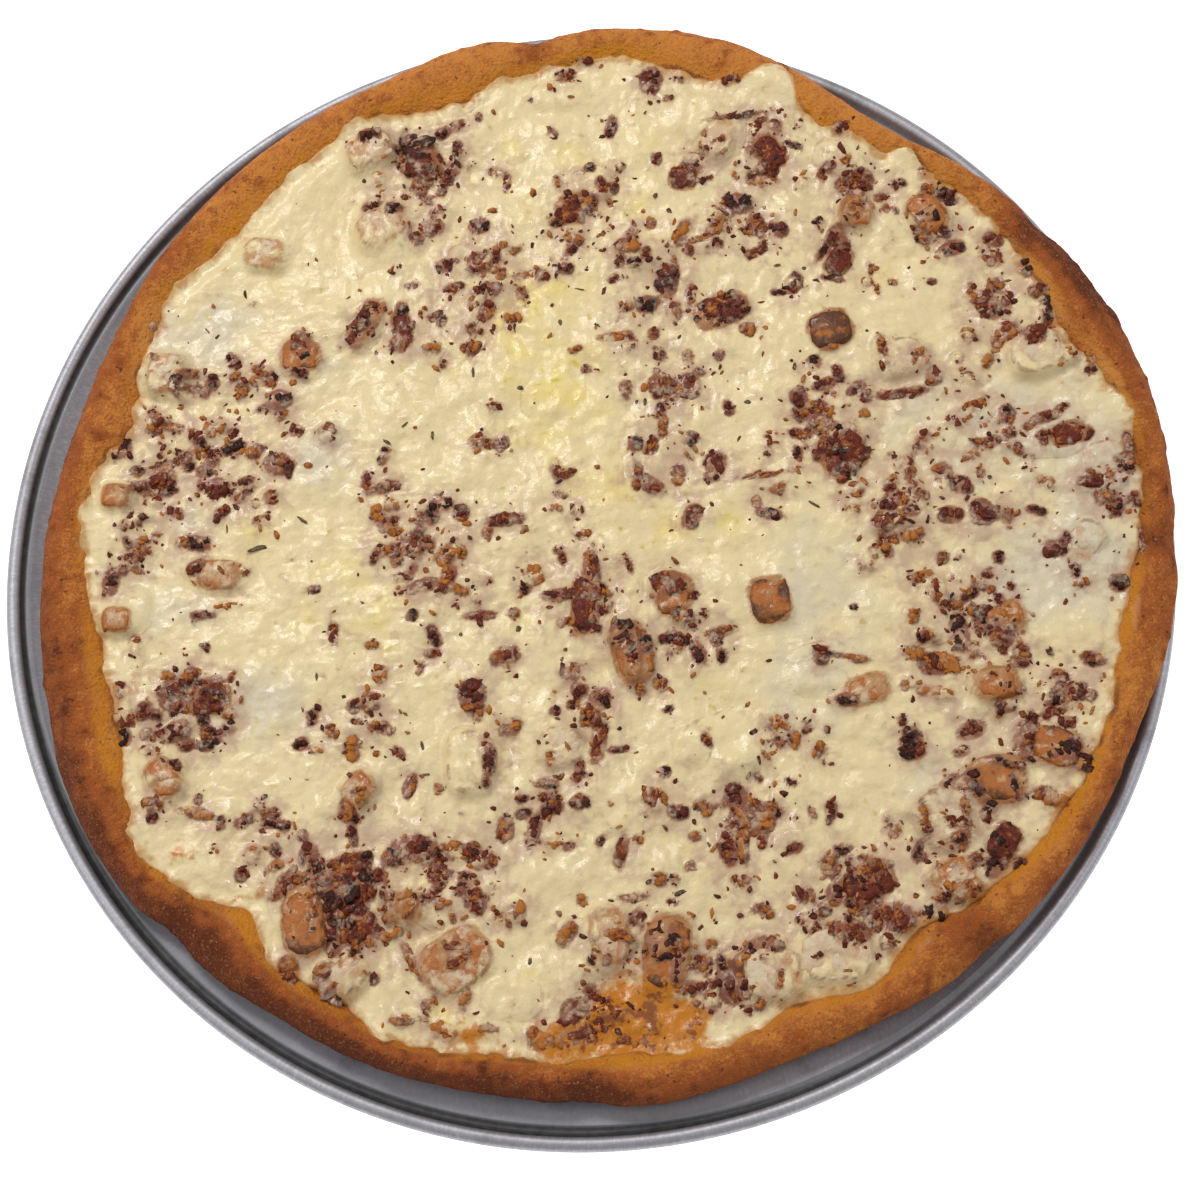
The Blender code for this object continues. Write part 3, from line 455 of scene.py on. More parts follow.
class ToppingSettings(bpy.types.PropertyGroup):
    """Looks of the chicken, the bacon and the herbs."""

    flesh: colour("Chicken", "Pale chicken", (0.66, 0.46, 0.290))
    seared: colour("Seared", "Browned chicken", (0.44, 0.138, 0.024))
    lean: colour("Bacon", "Lean of the bacon", (0.150, 0.025, 0.013))
    char: colour("Char", "Darkest edges", (0.030, 0.010, 0.006))
    fat: colour("Fat", "Rendered fat", (0.47, 0.165, 0.030))
    crumbs: IntProperty(name="Loose crumbs", description="Crumbs away from the heaps", default=LOOSE_CRUMBS, min=0)


class StageSettings(bpy.types.PropertyGroup):
    """The floor and the lights."""

    key: FloatProperty(name="Key light", description="Power of the key light", unit="POWER", default=11.0)
    soft: FloatProperty(name="Soft lights", description="Power of each side softbox", unit="POWER", default=4.2)
    sky: FloatProperty(name="Sky", description="Strength of the surroundings", default=0.34)


def lobe_sum(angle, lobes):
    """Adds up smooth swellings round the rim at one angle in radians, in the lobes' own unit."""
    total = 0.0
    for middle, half_width, size in lobes:
        turn = (math.degrees(angle) - middle + 180) % 360 - 180
        total += size * math.exp(-((turn / half_width) ** 2))
    return total


def crease(angle):
    """How deep the rim is pinched at one angle, from 0 to 1."""
    return lobe_sum(angle, [(middle, CREASE_WIDTH, 1) for middle in CREASES])


def rim_radius(angle):
    """The crust's outermost radius about its own middle."""
    return CRUST_RADIUS + lobe_sum(angle, RIM_LOBES) * MM - crease(angle) * CREASE_DEPTH


def line_radius(angle):
    """The radius where the cheese ends and the bare rim begins."""
    return CRUST_RADIUS - CRUST_WIDTH + (lobe_sum(angle, RIM_LOBES) - lobe_sum(angle, WIDTH_LOBES)) * MM


def crown_height(angle):
    """The height of the rim's top, which waves a little and dips at the creases."""
    wave = 0.7 * MM * math.sin(3 * angle + 1) + 0.5 * MM * math.sin(7 * angle)
    return CRUST_CROWN + wave - 0.8 * crease(angle) * CREASE_DEPTH


def bed_height(radius):
    """The lowest that dough may lie at a distance from the pan's middle."""
    return float(np.interp(radius, BED_RADII, BED_HEIGHTS)) + BED_GAP


def crust_point(angle, radius, height):
    """A point of the crust from its angle and radius about the crust's middle."""
    return CRUST_CENTRE + Vector((radius * math.cos(angle), radius * math.sin(angle), height))


def bed_point(angle, radius, lift):
    """A point of the crust's underside, lifted clear of the pan below it."""
    point = crust_point(angle, radius, 0)
    point.z = bed_height(point.xy.length) + lift
    return point


def crust_section(angle):
    """The crust's outline at one angle, from its underside round the rim to the dough's floor."""
    outer = rim_radius(angle)
    line = line_radius(angle)
    width = outer - line
    crown = crown_height(angle)
    foot = bed_point(angle, outer - 2.5 * MM, 0.5 * MM)
    belly = (foot.z + crown) / 2 - 0.5 * MM
    return (
        bed_point(angle, DOUGH_FOOT_RADIUS, 0),
        bed_point(angle, outer - 10 * MM, 0),
        foot,
        crust_point(angle, outer, belly),
        *(crust_point(angle, outer - share * width, crown - drop) for share, drop in RIM_SHAPE),
        crust_point(angle, line, crown - CRUST_LINE_DROP),
        crust_point(angle, line - SLOPE_RUN, CRUST_FLOOR),
    )


def cheese_level(x, y):
    """The height of the cheese as the solid has it, level in the middle and rising to the crust."""
    place = Vector((x, y)) - CRUST_CENTRE.xy
    angle = math.atan2(place.y, place.x)
    share = min(place.length / line_radius(angle), 1)
    rise = max(0, (share - 0.8) / 0.2) ** 2
    edge = crown_height(angle) - CRUST_LINE_DROP + CHEESE_LIP
    lump = noise.noise(Vector((x, y, 0)) / LUMP_SCALE) + 0.5 * noise.noise(Vector((x, y, 1)) / LUMP_SCALE * 2)
    return CHEESE_MIDDLE + (edge - CHEESE_MIDDLE) * rise + CHEESE_LUMP * lump * (1 - rise)


def cheese_edge(angle):
    """The radius where the cheese really ends, with its wobbles and tongues over the crust."""
    ring = Vector((math.cos(angle), math.sin(angle), 0)) * CRUST_RADIUS
    wobble = 3.4 * noise.noise(ring / (19 * MM)) + 1.7 * noise.noise(ring / (8 * MM))
    wobble += 0.5 * noise.noise(ring / (3 * MM))
    return line_radius(angle) + (wobble + 0.8 + lobe_sum(angle, TONGUES)) * MM


def disc_place(a, b):
    """Takes a point of the square from -1 to 1 to its share of the radius and its angle on a round."""
    if a == 0 and b == 0:
        return 0.0, 0.0
    if abs(a) >= abs(b):
        return abs(a), math.pi / 4 * (b / a) + (math.pi if a < 0 else 0)
    return abs(b), math.pi / 2 - math.pi / 4 * (a / b) + (math.pi if b < 0 else 0)


def camera_axes():
    """The camera's right, up and backward directions."""
    azimuth, elevation, roll = CAMERA_AZIMUTH, CAMERA_ELEVATION, CAMERA_ROLL
    back = Vector(
        (math.sin(azimuth) * math.cos(elevation), -math.cos(azimuth) * math.cos(elevation), math.sin(elevation))
    )
    right = Vector((math.cos(azimuth), math.sin(azimuth), 0))
    up = back.cross(right)
    turned_right = right * math.cos(roll) + up * math.sin(roll)
    turned_up = up * math.cos(roll) - right * math.sin(roll)
    return turned_right, turned_up, back


def photo_place(px, py):
    """The place on the pizza that a pixel of the photograph shows, at the toppings' height."""
    right, up, back = camera_axes()
    focal = CAMERA_LENS / CAMERA_SENSOR * PHOTO_SIDE
    eye = CAMERA_TARGET + back * CAMERA_DISTANCE
    ray = right * (px - PHOTO_SIDE / 2) / focal - up * (py - PHOTO_SIDE / 2) / focal - back
    place = eye + ray * ((TOPPING_HEIGHT - eye.z) / ray.z)
    return place.x, place.y


def pixel_spans():
    """How many metres one pixel covers across and down, at the middle of the pizza."""
    px, py = PHOTO_MIDDLE
    step = 100
    middle = photo_place(px, py)
    across = photo_place(px + step, py)
    down = photo_place(px, py + step)
    return (across[0] - middle[0]) / step, (middle[1] - down[1]) / step


class Sock:
    """One output of a shader tree, so that shader maths reads as plain expressions."""

    def __init__(self, paint, socket):
        self.paint = paint
        self.socket = socket

    def maths(self, operation, *values):
        return self.paint.node("ShaderNodeMath", {"operation": operation}, dict(enumerate(values)))

    def __add__(self, other):
        return self.maths("ADD", self, other)

    def __sub__(self, other):
        return self.maths("SUBTRACT", self, other)

    def __mul__(self, other):
        return self.maths("MULTIPLY", self, other)

    def __truediv__(self, other):
        return self.maths("DIVIDE", self, other)

    def __pow__(self, other):
        return self.maths("POWER", self, other)

    def __rsub__(self, other):
        return self.maths("SUBTRACT", other, self)

    def __rtruediv__(self, other):
        return self.maths("DIVIDE", other, self)

    __radd__ = __add__
    __rmul__ = __mul__

    def clamp(self):
        return self.paint.node("ShaderNodeClamp", {}, {0: self})

    def between(self, low, high):
        """Rises smoothly from 0 at low to 1 at high."""
        settings = {"interpolation_type": "SMOOTHSTEP"}
        return self.paint.node("ShaderNodeMapRange", settings, {0: self, 1: low, 2: high, 3: 0.0, 4: 1.0})


class Paint:
    """A material under construction."""

    def __init__(self, name):
        self.material = bpy.data.materials.new(name)
        self.material.use_nodes = True
        self.tree = self.material.node_tree
        self.shader = self.tree.nodes["Principled BSDF"]
        self.place = self.node("ShaderNodeTexCoord", {}, {}, "Object")

    def node(self, kind, settings, values, output=0):
        """Adds a node, sets it up first, then feeds its sockets with values or links."""
        made = self.tree.nodes.new(kind)
        for key, value in settings.items():
            setattr(made, key, value)
        for key, value in values.items():
            self.feed(made.inputs[key], value)
        return Sock(self, made.outputs[output])

    def feed(self, socket, value):
        """Links an output to a socket, or sets its number or colour."""
        if isinstance(value, Sock):
            self.tree.links.new(value.socket, socket)
        elif socket.type == "RGBA":
            socket.default_value = (*value, 1)
        else:
            socket.default_value = value

    def noise(self, size, detail=2.0, roughness=0.5, place=None, distortion=0.0):
        """Noise whose features are about one size across, in metres, from 0 to 1."""
        values = {
            "Vector": place or self.place,
            "Scale": 1 / size,
            "Detail": detail,
            "Roughness": roughness,
            "Distortion": distortion,
        }
        return self.node("ShaderNodeTexNoise", {}, values)

    def cells(self, size):
        """The distance to the nearest of scattered points, about one size apart, in metres."""
        values = {"Vector": self.place, "Scale": 1 / size, "Randomness": 1.0}
        return self.node("ShaderNodeTexVoronoi", {"feature": "F1"}, values, "Distance")

    def axes(self):
        """The three coordinates of the place."""
        split = self.node("ShaderNodeSeparateXYZ", {}, {0: self.place}).socket.node
        return [Sock(self, output) for output in split.outputs]

    def attribute(self, name):
        """A field that is stored with the mesh."""
        return self.node("ShaderNodeAttribute", {"attribute_name": name}, {}, "Fac")

    def mix(self, factor, first, second):
        """Mixes two colours."""
        return self.node("ShaderNodeMix", {"data_type": "RGBA"}, {0: factor, 6: first, 7: second}, 2)

    def bump(self, height, distance):
        """A normal for relief whose height from 0 to 1 stands for a distance in metres."""
        values = {"Height": height, "Distance": distance, "Strength": 1.0}
        return self.node("ShaderNodeBump", {}, values, "Normal")

    def gloss(self, specular, coat_roughness):
        """Sets how strongly the surface mirrors, and how blurred its coat is."""
        self.shader.inputs["Specular IOR Level"].default_value = specular
        self.shader.inputs["Coat Roughness"].default_value = coat_roughness

    def finish(self, **sockets):
        """Feeds the shader's sockets and hands over the material."""
        for key, value in sockets.items():
            self.feed(self.shader.inputs[key.replace("_", " ")], value)
        return self.material


def finish_piece(name, bm, material, replaced, sharp=None):
    """Turns a bmesh into a piece that rides on the pizza, with its material and replaced nodes."""
    mesh = bpy.data.meshes.new(name)
    bm.to_mesh(mesh)
    bm.free()
    return finish_mesh(name, mesh, material, replaced, sharp)


def finish_mesh(name, mesh, material, replaced, sharp=None):
    """Does the same from a mesh."""
    mesh.shade_smooth()
    if sharp is not None:
        mesh.set_sharp_from_angle(angle=math.radians(sharp))
    mesh.materials.append(material)
    piece = bpy.data.objects.new(name, mesh)
    bpy.context.scene.collection.objects.link(piece)
    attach(piece, BODY)
    if replaced:
        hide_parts(*replaced)
    return piece


def write_field(mesh, name, values):
    """Stores one number for each vertex under a name that a material can read."""
    layer = mesh.attributes.new(name, "FLOAT", "POINT")
    layer.data.foreach_set("value", np.asarray(values, dtype=np.float32))


def pan_material(settings):
    """Spun aluminium: scratched radially on the wall, dark in the groove and bright on the bead."""
    paint = Paint("spun aluminium")
    x, y, z = paint.axes()
    radius = (x * x + y * y) ** 0.5
    flat = paint.node("ShaderNodeCombineXYZ", {}, {"X": x / radius, "Y": y / radius, "Z": radius * 2.0})
    rays = paint.noise(0.004, 3, 0.6, flat)
    fine = paint.noise(0.0012, 2, 0.6, flat)
    blotch = paint.noise(0.018, 4, 0.6)
    small = paint.noise(0.003, 3, 0.6)
    outward = radius.between(*BEAD_ZONE)
    tint = paint.mix(outward, settings.wall, settings.bead)
    # The wall is brighter on the near left, where it faces the light
    side = (x * -0.42 + y * -0.91) / radius
    tint = paint.mix(side.between(0.35, 1.0) * (1 - outward) * 0.6, tint, LIT_METAL)
    tint = paint.mix(rays.between(0.42, 0.72) * 0.4, tint, BRUSHED_METAL)
    tint = paint.mix(blotch.between(0.48, 0.75) * 0.5 + small.between(0.6, 0.8) * 0.3, tint, TARNISH)
    tint = paint.mix(radius.between(*UPPER_WALL_ZONE) * (1 - outward) * 0.62, tint, WALL_SHADE)
    low = 1 - z.between(*RING_TOP)
    ring = (radius + side.between(0.5, 0.95) * RING_SPREAD).between(*RING_ZONE)
    ring = ring * (1 - radius.between(*RING_END)) * low
    shade = ((x * -0.75 + y * -0.66) / radius).between(-0.15, 0.30) * 0.8 + 0.2
    tint = paint.mix(ring * shade * (0.72 + small * 0.4).clamp(), tint, RING_SHADE)
    rough = 0.36 + fine * 0.18 + blotch * 0.14
    metal = 0.35 + outward * 0.4
    height = rays * 0.6 + fine * 0.4 + small * 0.5
    return paint.finish(
        Base_Color=tint, Metallic=metal, Roughness=rough, Normal=paint.bump(height, settings.scratch)
    )


class PIZZA_OT_pan(bpy.types.Operator):
    """Turns the pan with its groove and rolled bead"""

    bl_idname = "pizza.pan"
    bl_label = "Pan"

    def execute(self, context):
        settings = context.scene.pizza_pan
        profile = [(0, 0), (PAN_FLAT_RADIUS - 4 * MM, 0), (PAN_FLAT_RADIUS + 3 * MM, 0.3 * MM)]
        profile += [(206 * MM, 1.9 * MM), (212 * MM, 3.3 * MM), (219 * MM, PAN_GROOVE_HEIGHT - 1.6 * MM)]
        middle = PAN_RADIUS - BEAD_RADIUS
        for step in range(BEAD_STEPS + 1):
            angle = math.radians(BEAD_START + step * BEAD_SWEEP / BEAD_STEPS)
            profile.append(
                (middle + BEAD_RADIUS * math.cos(angle), PAN_GROOVE_HEIGHT + BEAD_RADIUS * math.sin(angle))
            )
        profile += [
            (PAN_GROOVE_RADIUS + 0.7 * MM, PAN_GROOVE_HEIGHT - 0.5 * MM),
            (PAN_GROOVE_RADIUS, PAN_GROOVE_HEIGHT - 0.9 * MM),
            (PAN_GROOVE_RADIUS - 0.9 * MM, PAN_GROOVE_HEIGHT - 0.7 * MM),
            (PAN_GROOVE_RADIUS - 2.2 * MM, PAN_GROOVE_HEIGHT),
            (216 * MM, 6.9 * MM),
            (211 * MM, 3.3 * MM + PAN_SHEET),
            (204 * MM, 2.7 * MM),
            (PAN_FLAT_RADIUS, PAN_SHEET),
            (0, PAN_SHEET),
        ]
        bm = bmesh.new()
        verts = [bm.verts.new((radius, 0, height)) for radius, height in profile]
        edges = [bm.edges.new(pair) for pair in zip(verts, verts[1:])]
        bmesh.ops.spin(
            bm, geom=verts + edges, axis=(0, 0, 1), cent=(0, 0, 0), steps=PAN_TURNS, angle=math.tau, use_merge=True
        )
        bmesh.ops.remove_doubles(bm, verts=bm.verts, dist=MERGE_GAP)
        bmesh.ops.recalc_face_normals(bm, faces=bm.faces)
        finish_piece("pan_dressed", bm, pan_material(settings), ["pan"], sharp=50)
        return {"FINISHED"}


def crust_material(settings):
    """Baked dough: golden to deep brown, partly from baking and partly painted light and shade, matt and grainy, and
    oily on its inner slope.
    """
    paint = Paint("baked crust")
    toast_and_shade = paint.attribute("toast_and_shade")
    oily = paint.attribute("oily")
    fringe = paint.attribute("fringe")
    broad = paint.noise(0.016, 3, 0.6)
    patch = paint.noise(0.0055, 4, 0.65)
    grain = paint.noise(0.0011, 3, 0.7)
    dots = paint.noise(0.0021, 1, 0.5)
    cells = paint.cells(0.0016)
    # The dough's browning: partly its own baking and partly painted light and shade round the rim, broken up by noise
    baked = toast_and_shade - 0.03 + (broad - 0.5) * 0.75 + (patch - 0.5) * 0.95 + (grain - 0.5) * 1.3
    tint = paint.mix(baked.between(0.15, 0.62), settings.gold, settings.brown)
    tint = paint.mix(baked.between(0.62, 1.15), tint, settings.deep)
    wet = (oily + (patch - 0.5) * 0.7).between(0.35, 0.85)
    tint = paint.mix(wet * (1 - baked.between(0.5, 1.0) * 0.6), tint, settings.oil)
    tint = paint.mix(dots.between(0.68, 0.78) * 0.75, tint, CRUST_SPECK)
    tint = paint.mix((fringe + (patch - 0.5) * 0.9).between(0.4, 0.9) * 0.8, tint, CRUST_FRINGE)
    tint = paint.mix(grain.between(0.52, 0.72) * 0.34, tint, CRUST_GRAIN)
    rough = 0.74 - wet * 0.30 + (grain - 0.5) * 0.25
    height = grain * 0.9 + cells * 0.5 + patch * 1.2
    normal = paint.bump(height, 0.0012)
    paint.gloss(0.10, 0.25)
    return paint.finish(Base_Color=tint, Roughness=rough, Coat_Weight=wet * 0.35, Normal=normal)


def smooth_curve(points, steps):
    """Points along a smooth curve through the given ones, spaced by how far apart those are."""
    spans = [0.0]
    for start, end in zip(points, points[1:]):
        spans.append(spans[-1] + (end - start).length)
    made = []
    for step in range(steps + 1):
        reach = spans[-1] * step / steps
        index = min(max(i for i, span in enumerate(spans) if span <= reach + 1e-12), len(points) - 2)
        share = (reach - spans[index]) / (spans[index + 1] - spans[index])
        before = points[max(index - 1, 0)]
        start, end = points[index], points[index + 1]
        after = points[min(index + 2, len(points) - 1)]
        lead_in = (end - before) * 0.5 if index else end - start
        lead_out = (after - start) * 0.5 if index + 2 < len(points) else end - start
        cube, square = share**3, share**2
        made.append(
            start * (2 * cube - 3 * square + 1)
            + lead_in * (cube - 2 * square + share)
            + end * (3 * square - 2 * cube)
            + lead_out * (cube - square)
        )
    return made


class PIZZA_OT_crust(bpy.types.Operator):
    """Bakes the crust round the solid's own section, with swellings, blisters and creases"""

    bl_idname = "pizza.crust"
    bl_label = "Crust"

    def execute(self, context):
        settings = context.scene.pizza_crust
        bm = bmesh.new()
        bmesh.ops.create_grid(bm, x_segments=CRUST_TURNS, y_segments=CRUST_STEPS, size=1)
        sections = {}
        toast_and_shade_layer = bm.verts.layers.float.new("toast_and_shade")
        oily_layer = bm.verts.layers.float.new("oily")
        fringe_layer = bm.verts.layers.float.new("fringe")
        for vert in bm.verts:
            turn = round((vert.co.x + 1) / 2 * CRUST_TURNS) % CRUST_TURNS
            step = round((vert.co.y + 1) / 2 * CRUST_STEPS)
            if turn not in sections:
                sections[turn] = smooth_curve(crust_section(math.tau * turn / CRUST_TURNS), CRUST_STEPS)
            vert.co = sections[turn][step]
        bmesh.ops.remove_doubles(bm, verts=bm.verts, dist=MERGE_GAP)
        bmesh.ops.holes_fill(bm, edges=[edge for edge in bm.edges if edge.is_boundary], sides=0)
        bmesh.ops.recalc_face_normals(bm, faces=bm.faces)
        bm.normal_update()
        for vert in bm.verts:
            place = vert.co - CRUST_CENTRE
            angle = math.atan2(place.y, place.x)
            radius = place.xy.length
            outer, line = rim_radius(angle), line_radius(angle)
            # 0 where the cheese ends and 1 at the rim's outermost edge
            across = (radius - line) / (outer - line)
            top = max(0.0, vert.normal.z)
            swell = noise.noise(place / (26 * MM)) + 0.6 * noise.noise(place / (9 * MM))
            blister = max(0.0, noise.noise(place / (5 * MM) + Vector((7, 3, 1))) - 0.32) * 1.8
            rough = 0.22 * noise.noise(place / (2.4 * MM))
            # The underside stays as it is, clear of the pan
            free = min(1.0, max(0.0, (vert.co.z - bed_height(vert.co.xy.length)) / (3 * MM)))
            shape = settings.relief * (swell + blister + rough) * free
            if across > -0.6:
                vert.co += vert.normal * shape
            outside = min(max((across - 0.38) / 0.34, 0.0), 1.0)
            outer_share = outside**2 * (3 - 2 * outside)
            # Partly real browning, from the bake, the blisters and the creases, and partly painted shade: set round the
            # rim by angle, and darker on the outer side that faces away from above
            toast_and_shade = 0.27 + lobe_sum(angle, TOAST_AND_SHADE_LOBES) + lobe_sum(angle, OUTER_TOAST_AND_SHADE_LOBES) * outer_share
            toast_and_shade += 0.10 * outside * (1 - top) + blister * 0.6 + 0.35 * crease(angle) * top
            vert[toast_and_shade_layer] = toast_and_shade
            sheen = 0.75 + 0.5 * noise.noise(place / (30 * MM))
            vert[oily_layer] = math.exp(-(((across - 0.10) / 0.26) ** 2)) * sheen
            edge = (radius - cheese_edge(angle)) / MM
            vert[fringe_layer] = math.exp(-((edge / 1.6) ** 2)) * (0.5 + noise.noise(place / (9 * MM)))
        finish_piece("crust_dough", bm, crust_material(settings), ["crust"])
        return {"FINISHED"}


def patchiness(x, y, seed):
    """How much thicker or thinner the cheese over one topping is at one place, from noise."""
    broad = noise.noise(Vector((x, y, seed * 3.1)) / (6 * MM))
    return broad + 0.6 * noise.noise(Vector((x, y, seed)) / (2.8 * MM))


class Cheese:
    """The cheese's top as a field of points, which the toppings raise and stain."""

    def __init__(self):
        self.relief = bpy.context.scene.pizza_cheese.relief
        self.bm = bmesh.new()
        bmesh.ops.create_grid(self.bm, x_segments=CHEESE_CELLS, y_segments=CHEESE_CELLS, size=1)
        table = np.array(self.lay_points())
        self.x, self.y = table[:, 0], table[:, 1]
        level, self.inside, under = table[:, 2], table[:, 3], table[:, 4]
        # The lip starts just under the dough's surface and soon has its full thickness
        lip = LIP_RISE * (1 - np.exp(-self.inside / LIP_RUN)) - LIP_START
        lip += LIP_WAVE * self.ripple(5 * MM, 4)
        over = under + lip
        # Near its edge the cheese is no thicker than its lip, whatever the level would be
        near = np.clip(self.inside / EDGE_BLEND, 0, 1)
        self.z = np.where(over > level, over, over + (level - over) * near)
        self.amber = np.clip(self.pools(OIL_PATCHES), 0, 1)
        self.z -= OIL_SINK * self.amber * near
        self.z += self.relief * (1.2 * self.ripple(11 * MM, 1) + 0.7 * self.ripple(4.5 * MM, 2)) * near
        self.z += 0.5 * self.relief * self.ripple(2.4 * MM, 3) * near
        self.butter = self.pools(YELLOW_POOLS)
        self.pale = self.pools(PALE_SKINS)
        self.stain, self.ring, self.tan, self.wine, self.greasy = (np.zeros(len(table)) for _ in range(5))

    def lay_points(self):
        """Lays the grid out as a round, and tells each point's place, level, distance to the edge and dough."""
        mean = CRUST_RADIUS - CRUST_WIDTH
        dough = BVHTree.FromObject(bpy.data.objects["crust_dough"], bpy.context.evaluated_depsgraph_get())
        rows = []
        edges = {}
        for vert in self.bm.verts:
            share, angle = disc_place(round(vert.co.x, 6), round(vert.co.y, 6))
            key = round(angle, 5)
            if key not in edges:
                edges[key] = cheese_edge(angle)
            radius = share * (mean + (edges[key] - mean) * share**10)
            vert.co = crust_point(angle, radius, 0)
            level = cheese_level(vert.co.x, vert.co.y)
            inside = edges[key] - radius
            under = CRUST_FLOOR
            if inside < DOUGH_RISE_REACH:
                hit = dough.ray_cast(Vector((vert.co.x, vert.co.y, 0.1)), Vector((0, 0, -1)))[0]
                under = hit.z if hit else CRUST_FLOOR
            rows.append((vert.co.x, vert.co.y, level, inside, under))
        return rows

    def pools(self, spots):
        """Soft round pools from places in the photograph."""
        total = np.zeros(len(self.x))
        across, down = pixel_spans()
        for px, py, reach, strength in spots:
            x, y = photo_place(px, py)
            gap = np.hypot((self.x - x) / across, (self.y - y) / down) / reach
            total += strength * np.exp(-(gap**2))
        return total

    def ripple(self, size, seed):
        """Noise with features of one size, for every point."""
        return np.array([noise.noise(Vector((x / size, y / size, seed * 9.7))) for x, y in zip(self.x, self.y)])

    def height(self, x, y):
        """The height at one place."""
        return self.z[int(np.argmin((self.x - x) ** 2 + (self.y - y) ** 2))]

    def room(self, x, y):
        """How far one place lies inside the cheese's edge."""
        return self.inside[int(np.argmin((self.x - x) ** 2 + (self.y - y) ** 2))]

    def reach(self, x, y, half_long, half_wide, turn, margin):
        """The points near one topping, with how far out each lies: 1 is the topping's own edge."""
        near = np.nonzero(np.hypot(self.x - x, self.y - y) < max(half_long, half_wide) * 1.5 + margin)[0]
        across, along = self.x[near] - x, self.y[near] - y
        u = (across * math.cos(turn) + along * math.sin(turn)) / half_long
        v = (along * math.cos(turn) - across * math.sin(turn)) / half_wide
        return near, u, v

    def wrap(self, x, y, top, half_long, half_wide, turn, cover, seed, rim, power=3.2, wine=0.0):
        """Drapes the cheese over one topping. Cover above 0 hides it, and below 0 leaves its top bare."""
        near, u, v = self.reach(x, y, half_long, half_wide, turn, 3 * rim)
        out = (np.abs(u) ** power + np.abs(v) ** power) ** (1 / power)
        gap = (out - 1) * min(half_long, half_wide)
        patch = np.array([patchiness(px, py, seed) for px, py in zip(self.x[near], self.y[near])])
        dome = top - 0.9 * MM * np.clip(out, 0, 1) ** 4
        thick = (cover + 1.1 * patch) * 1.1 * MM
        base = self.z[near]
        skirt = base + np.clip(dome + thick - base, 0, None) * np.exp(-((np.clip(gap, 0, None) / rim) ** 2))
        self.z[near] = np.where(gap < 0, dome + thick, np.maximum(base, skirt))
        fade = np.exp(-((np.clip(gap, 0, None) / (0.6 * rim)) ** 2))
        thin = np.clip(1 - (thick + 0.1 * MM) / (0.95 * MM), 0, 1) * fade
        field = self.wine if wine else self.tan
        field[near] = np.maximum(field[near], thin * (wine or min(1.0, 1.1 - cover)))
        edge = np.exp(-((gap / (1.0 * MM)) ** 2)) * np.clip(0.6 + patch * 1.8, 0, 1)
        if not wine:
            self.ring[near] = np.maximum(self.ring[near], edge)
        halo = np.exp(-((np.clip(gap, 0, None) / rim) ** 2)) * np.clip(0.75 - cover * 0.6, 0, 1)
        self.stain[near] = np.maximum(self.stain[near], halo)

    def soak(self, spots, spread, gain):
        """Spreads bacon fat through the cheese, more where more bits lie. Each spot is a place and an area."""
        side, count = SOAK_CELL, SOAK_CELLS
        grid = np.zeros((count, count))
        for x, y, area in spots:
            grid[int(x / side + count / 2), int(y / side + count / 2)] += area
        steps = np.arange(-12, 13) * side
        bell = np.exp(-(steps**2) / (2 * spread**2))
        bell /= bell.sum()
        for axis in (0, 1):
            grid = np.apply_along_axis(lambda row: np.convolve(row, bell, mode="same"), axis, grid)
        across = np.clip((self.x / side + count / 2).astype(int), 0, count - 1)
        along = np.clip((self.y / side + count / 2).astype(int), 0, count - 1)
        self.greasy = np.clip(grid[across, along] / side**2 * gain, 0, 1)

    def bulge(self, x, y, half_long, half_wide, turn, rise, seed):
        """Lifts the cheese over a lump that is hidden right under it, with a thin line round the lump."""
        near, u, v = self.reach(x, y, half_long, half_wide, turn, 3 * MM)
        out = (np.abs(u) ** 3 + np.abs(v) ** 3) ** (1 / 3)
        slope = np.clip((out - 0.62) / 0.5, 0, 1)
        lift = rise * (1 - slope**2 * (3 - 2 * slope))
        self.z[near] += lift * np.clip(self.inside[near] / (8 * MM), 0, 1)
        side = np.clip(0.6 + 1.5 * np.sin(np.arctan2(v, u) + seed), 0, 1)
        gap = (out - 1.02) * min(half_long, half_wide)
        self.ring[near] = np.maximum(self.ring[near], 0.75 * np.exp(-((gap / (0.8 * MM)) ** 2)) * side)

    def dimple(self, x, y, radius, rise, strength):
        """Draws the cheese up a little round one bit and stains it."""
        gap = np.hypot(self.x - x, self.y - y) - radius
        near = np.nonzero(gap < 4 * MM)[0]
        out = np.clip(gap[near], 0, None)
        self.z[near] += rise * np.exp(-((out / (1.1 * MM)) ** 2))
        halo = strength * np.exp(-((out / (1.5 * MM)) ** 2))
        self.stain[near] = np.clip(self.stain[near] + halo * (1 - self.stain[near]), 0, 1)

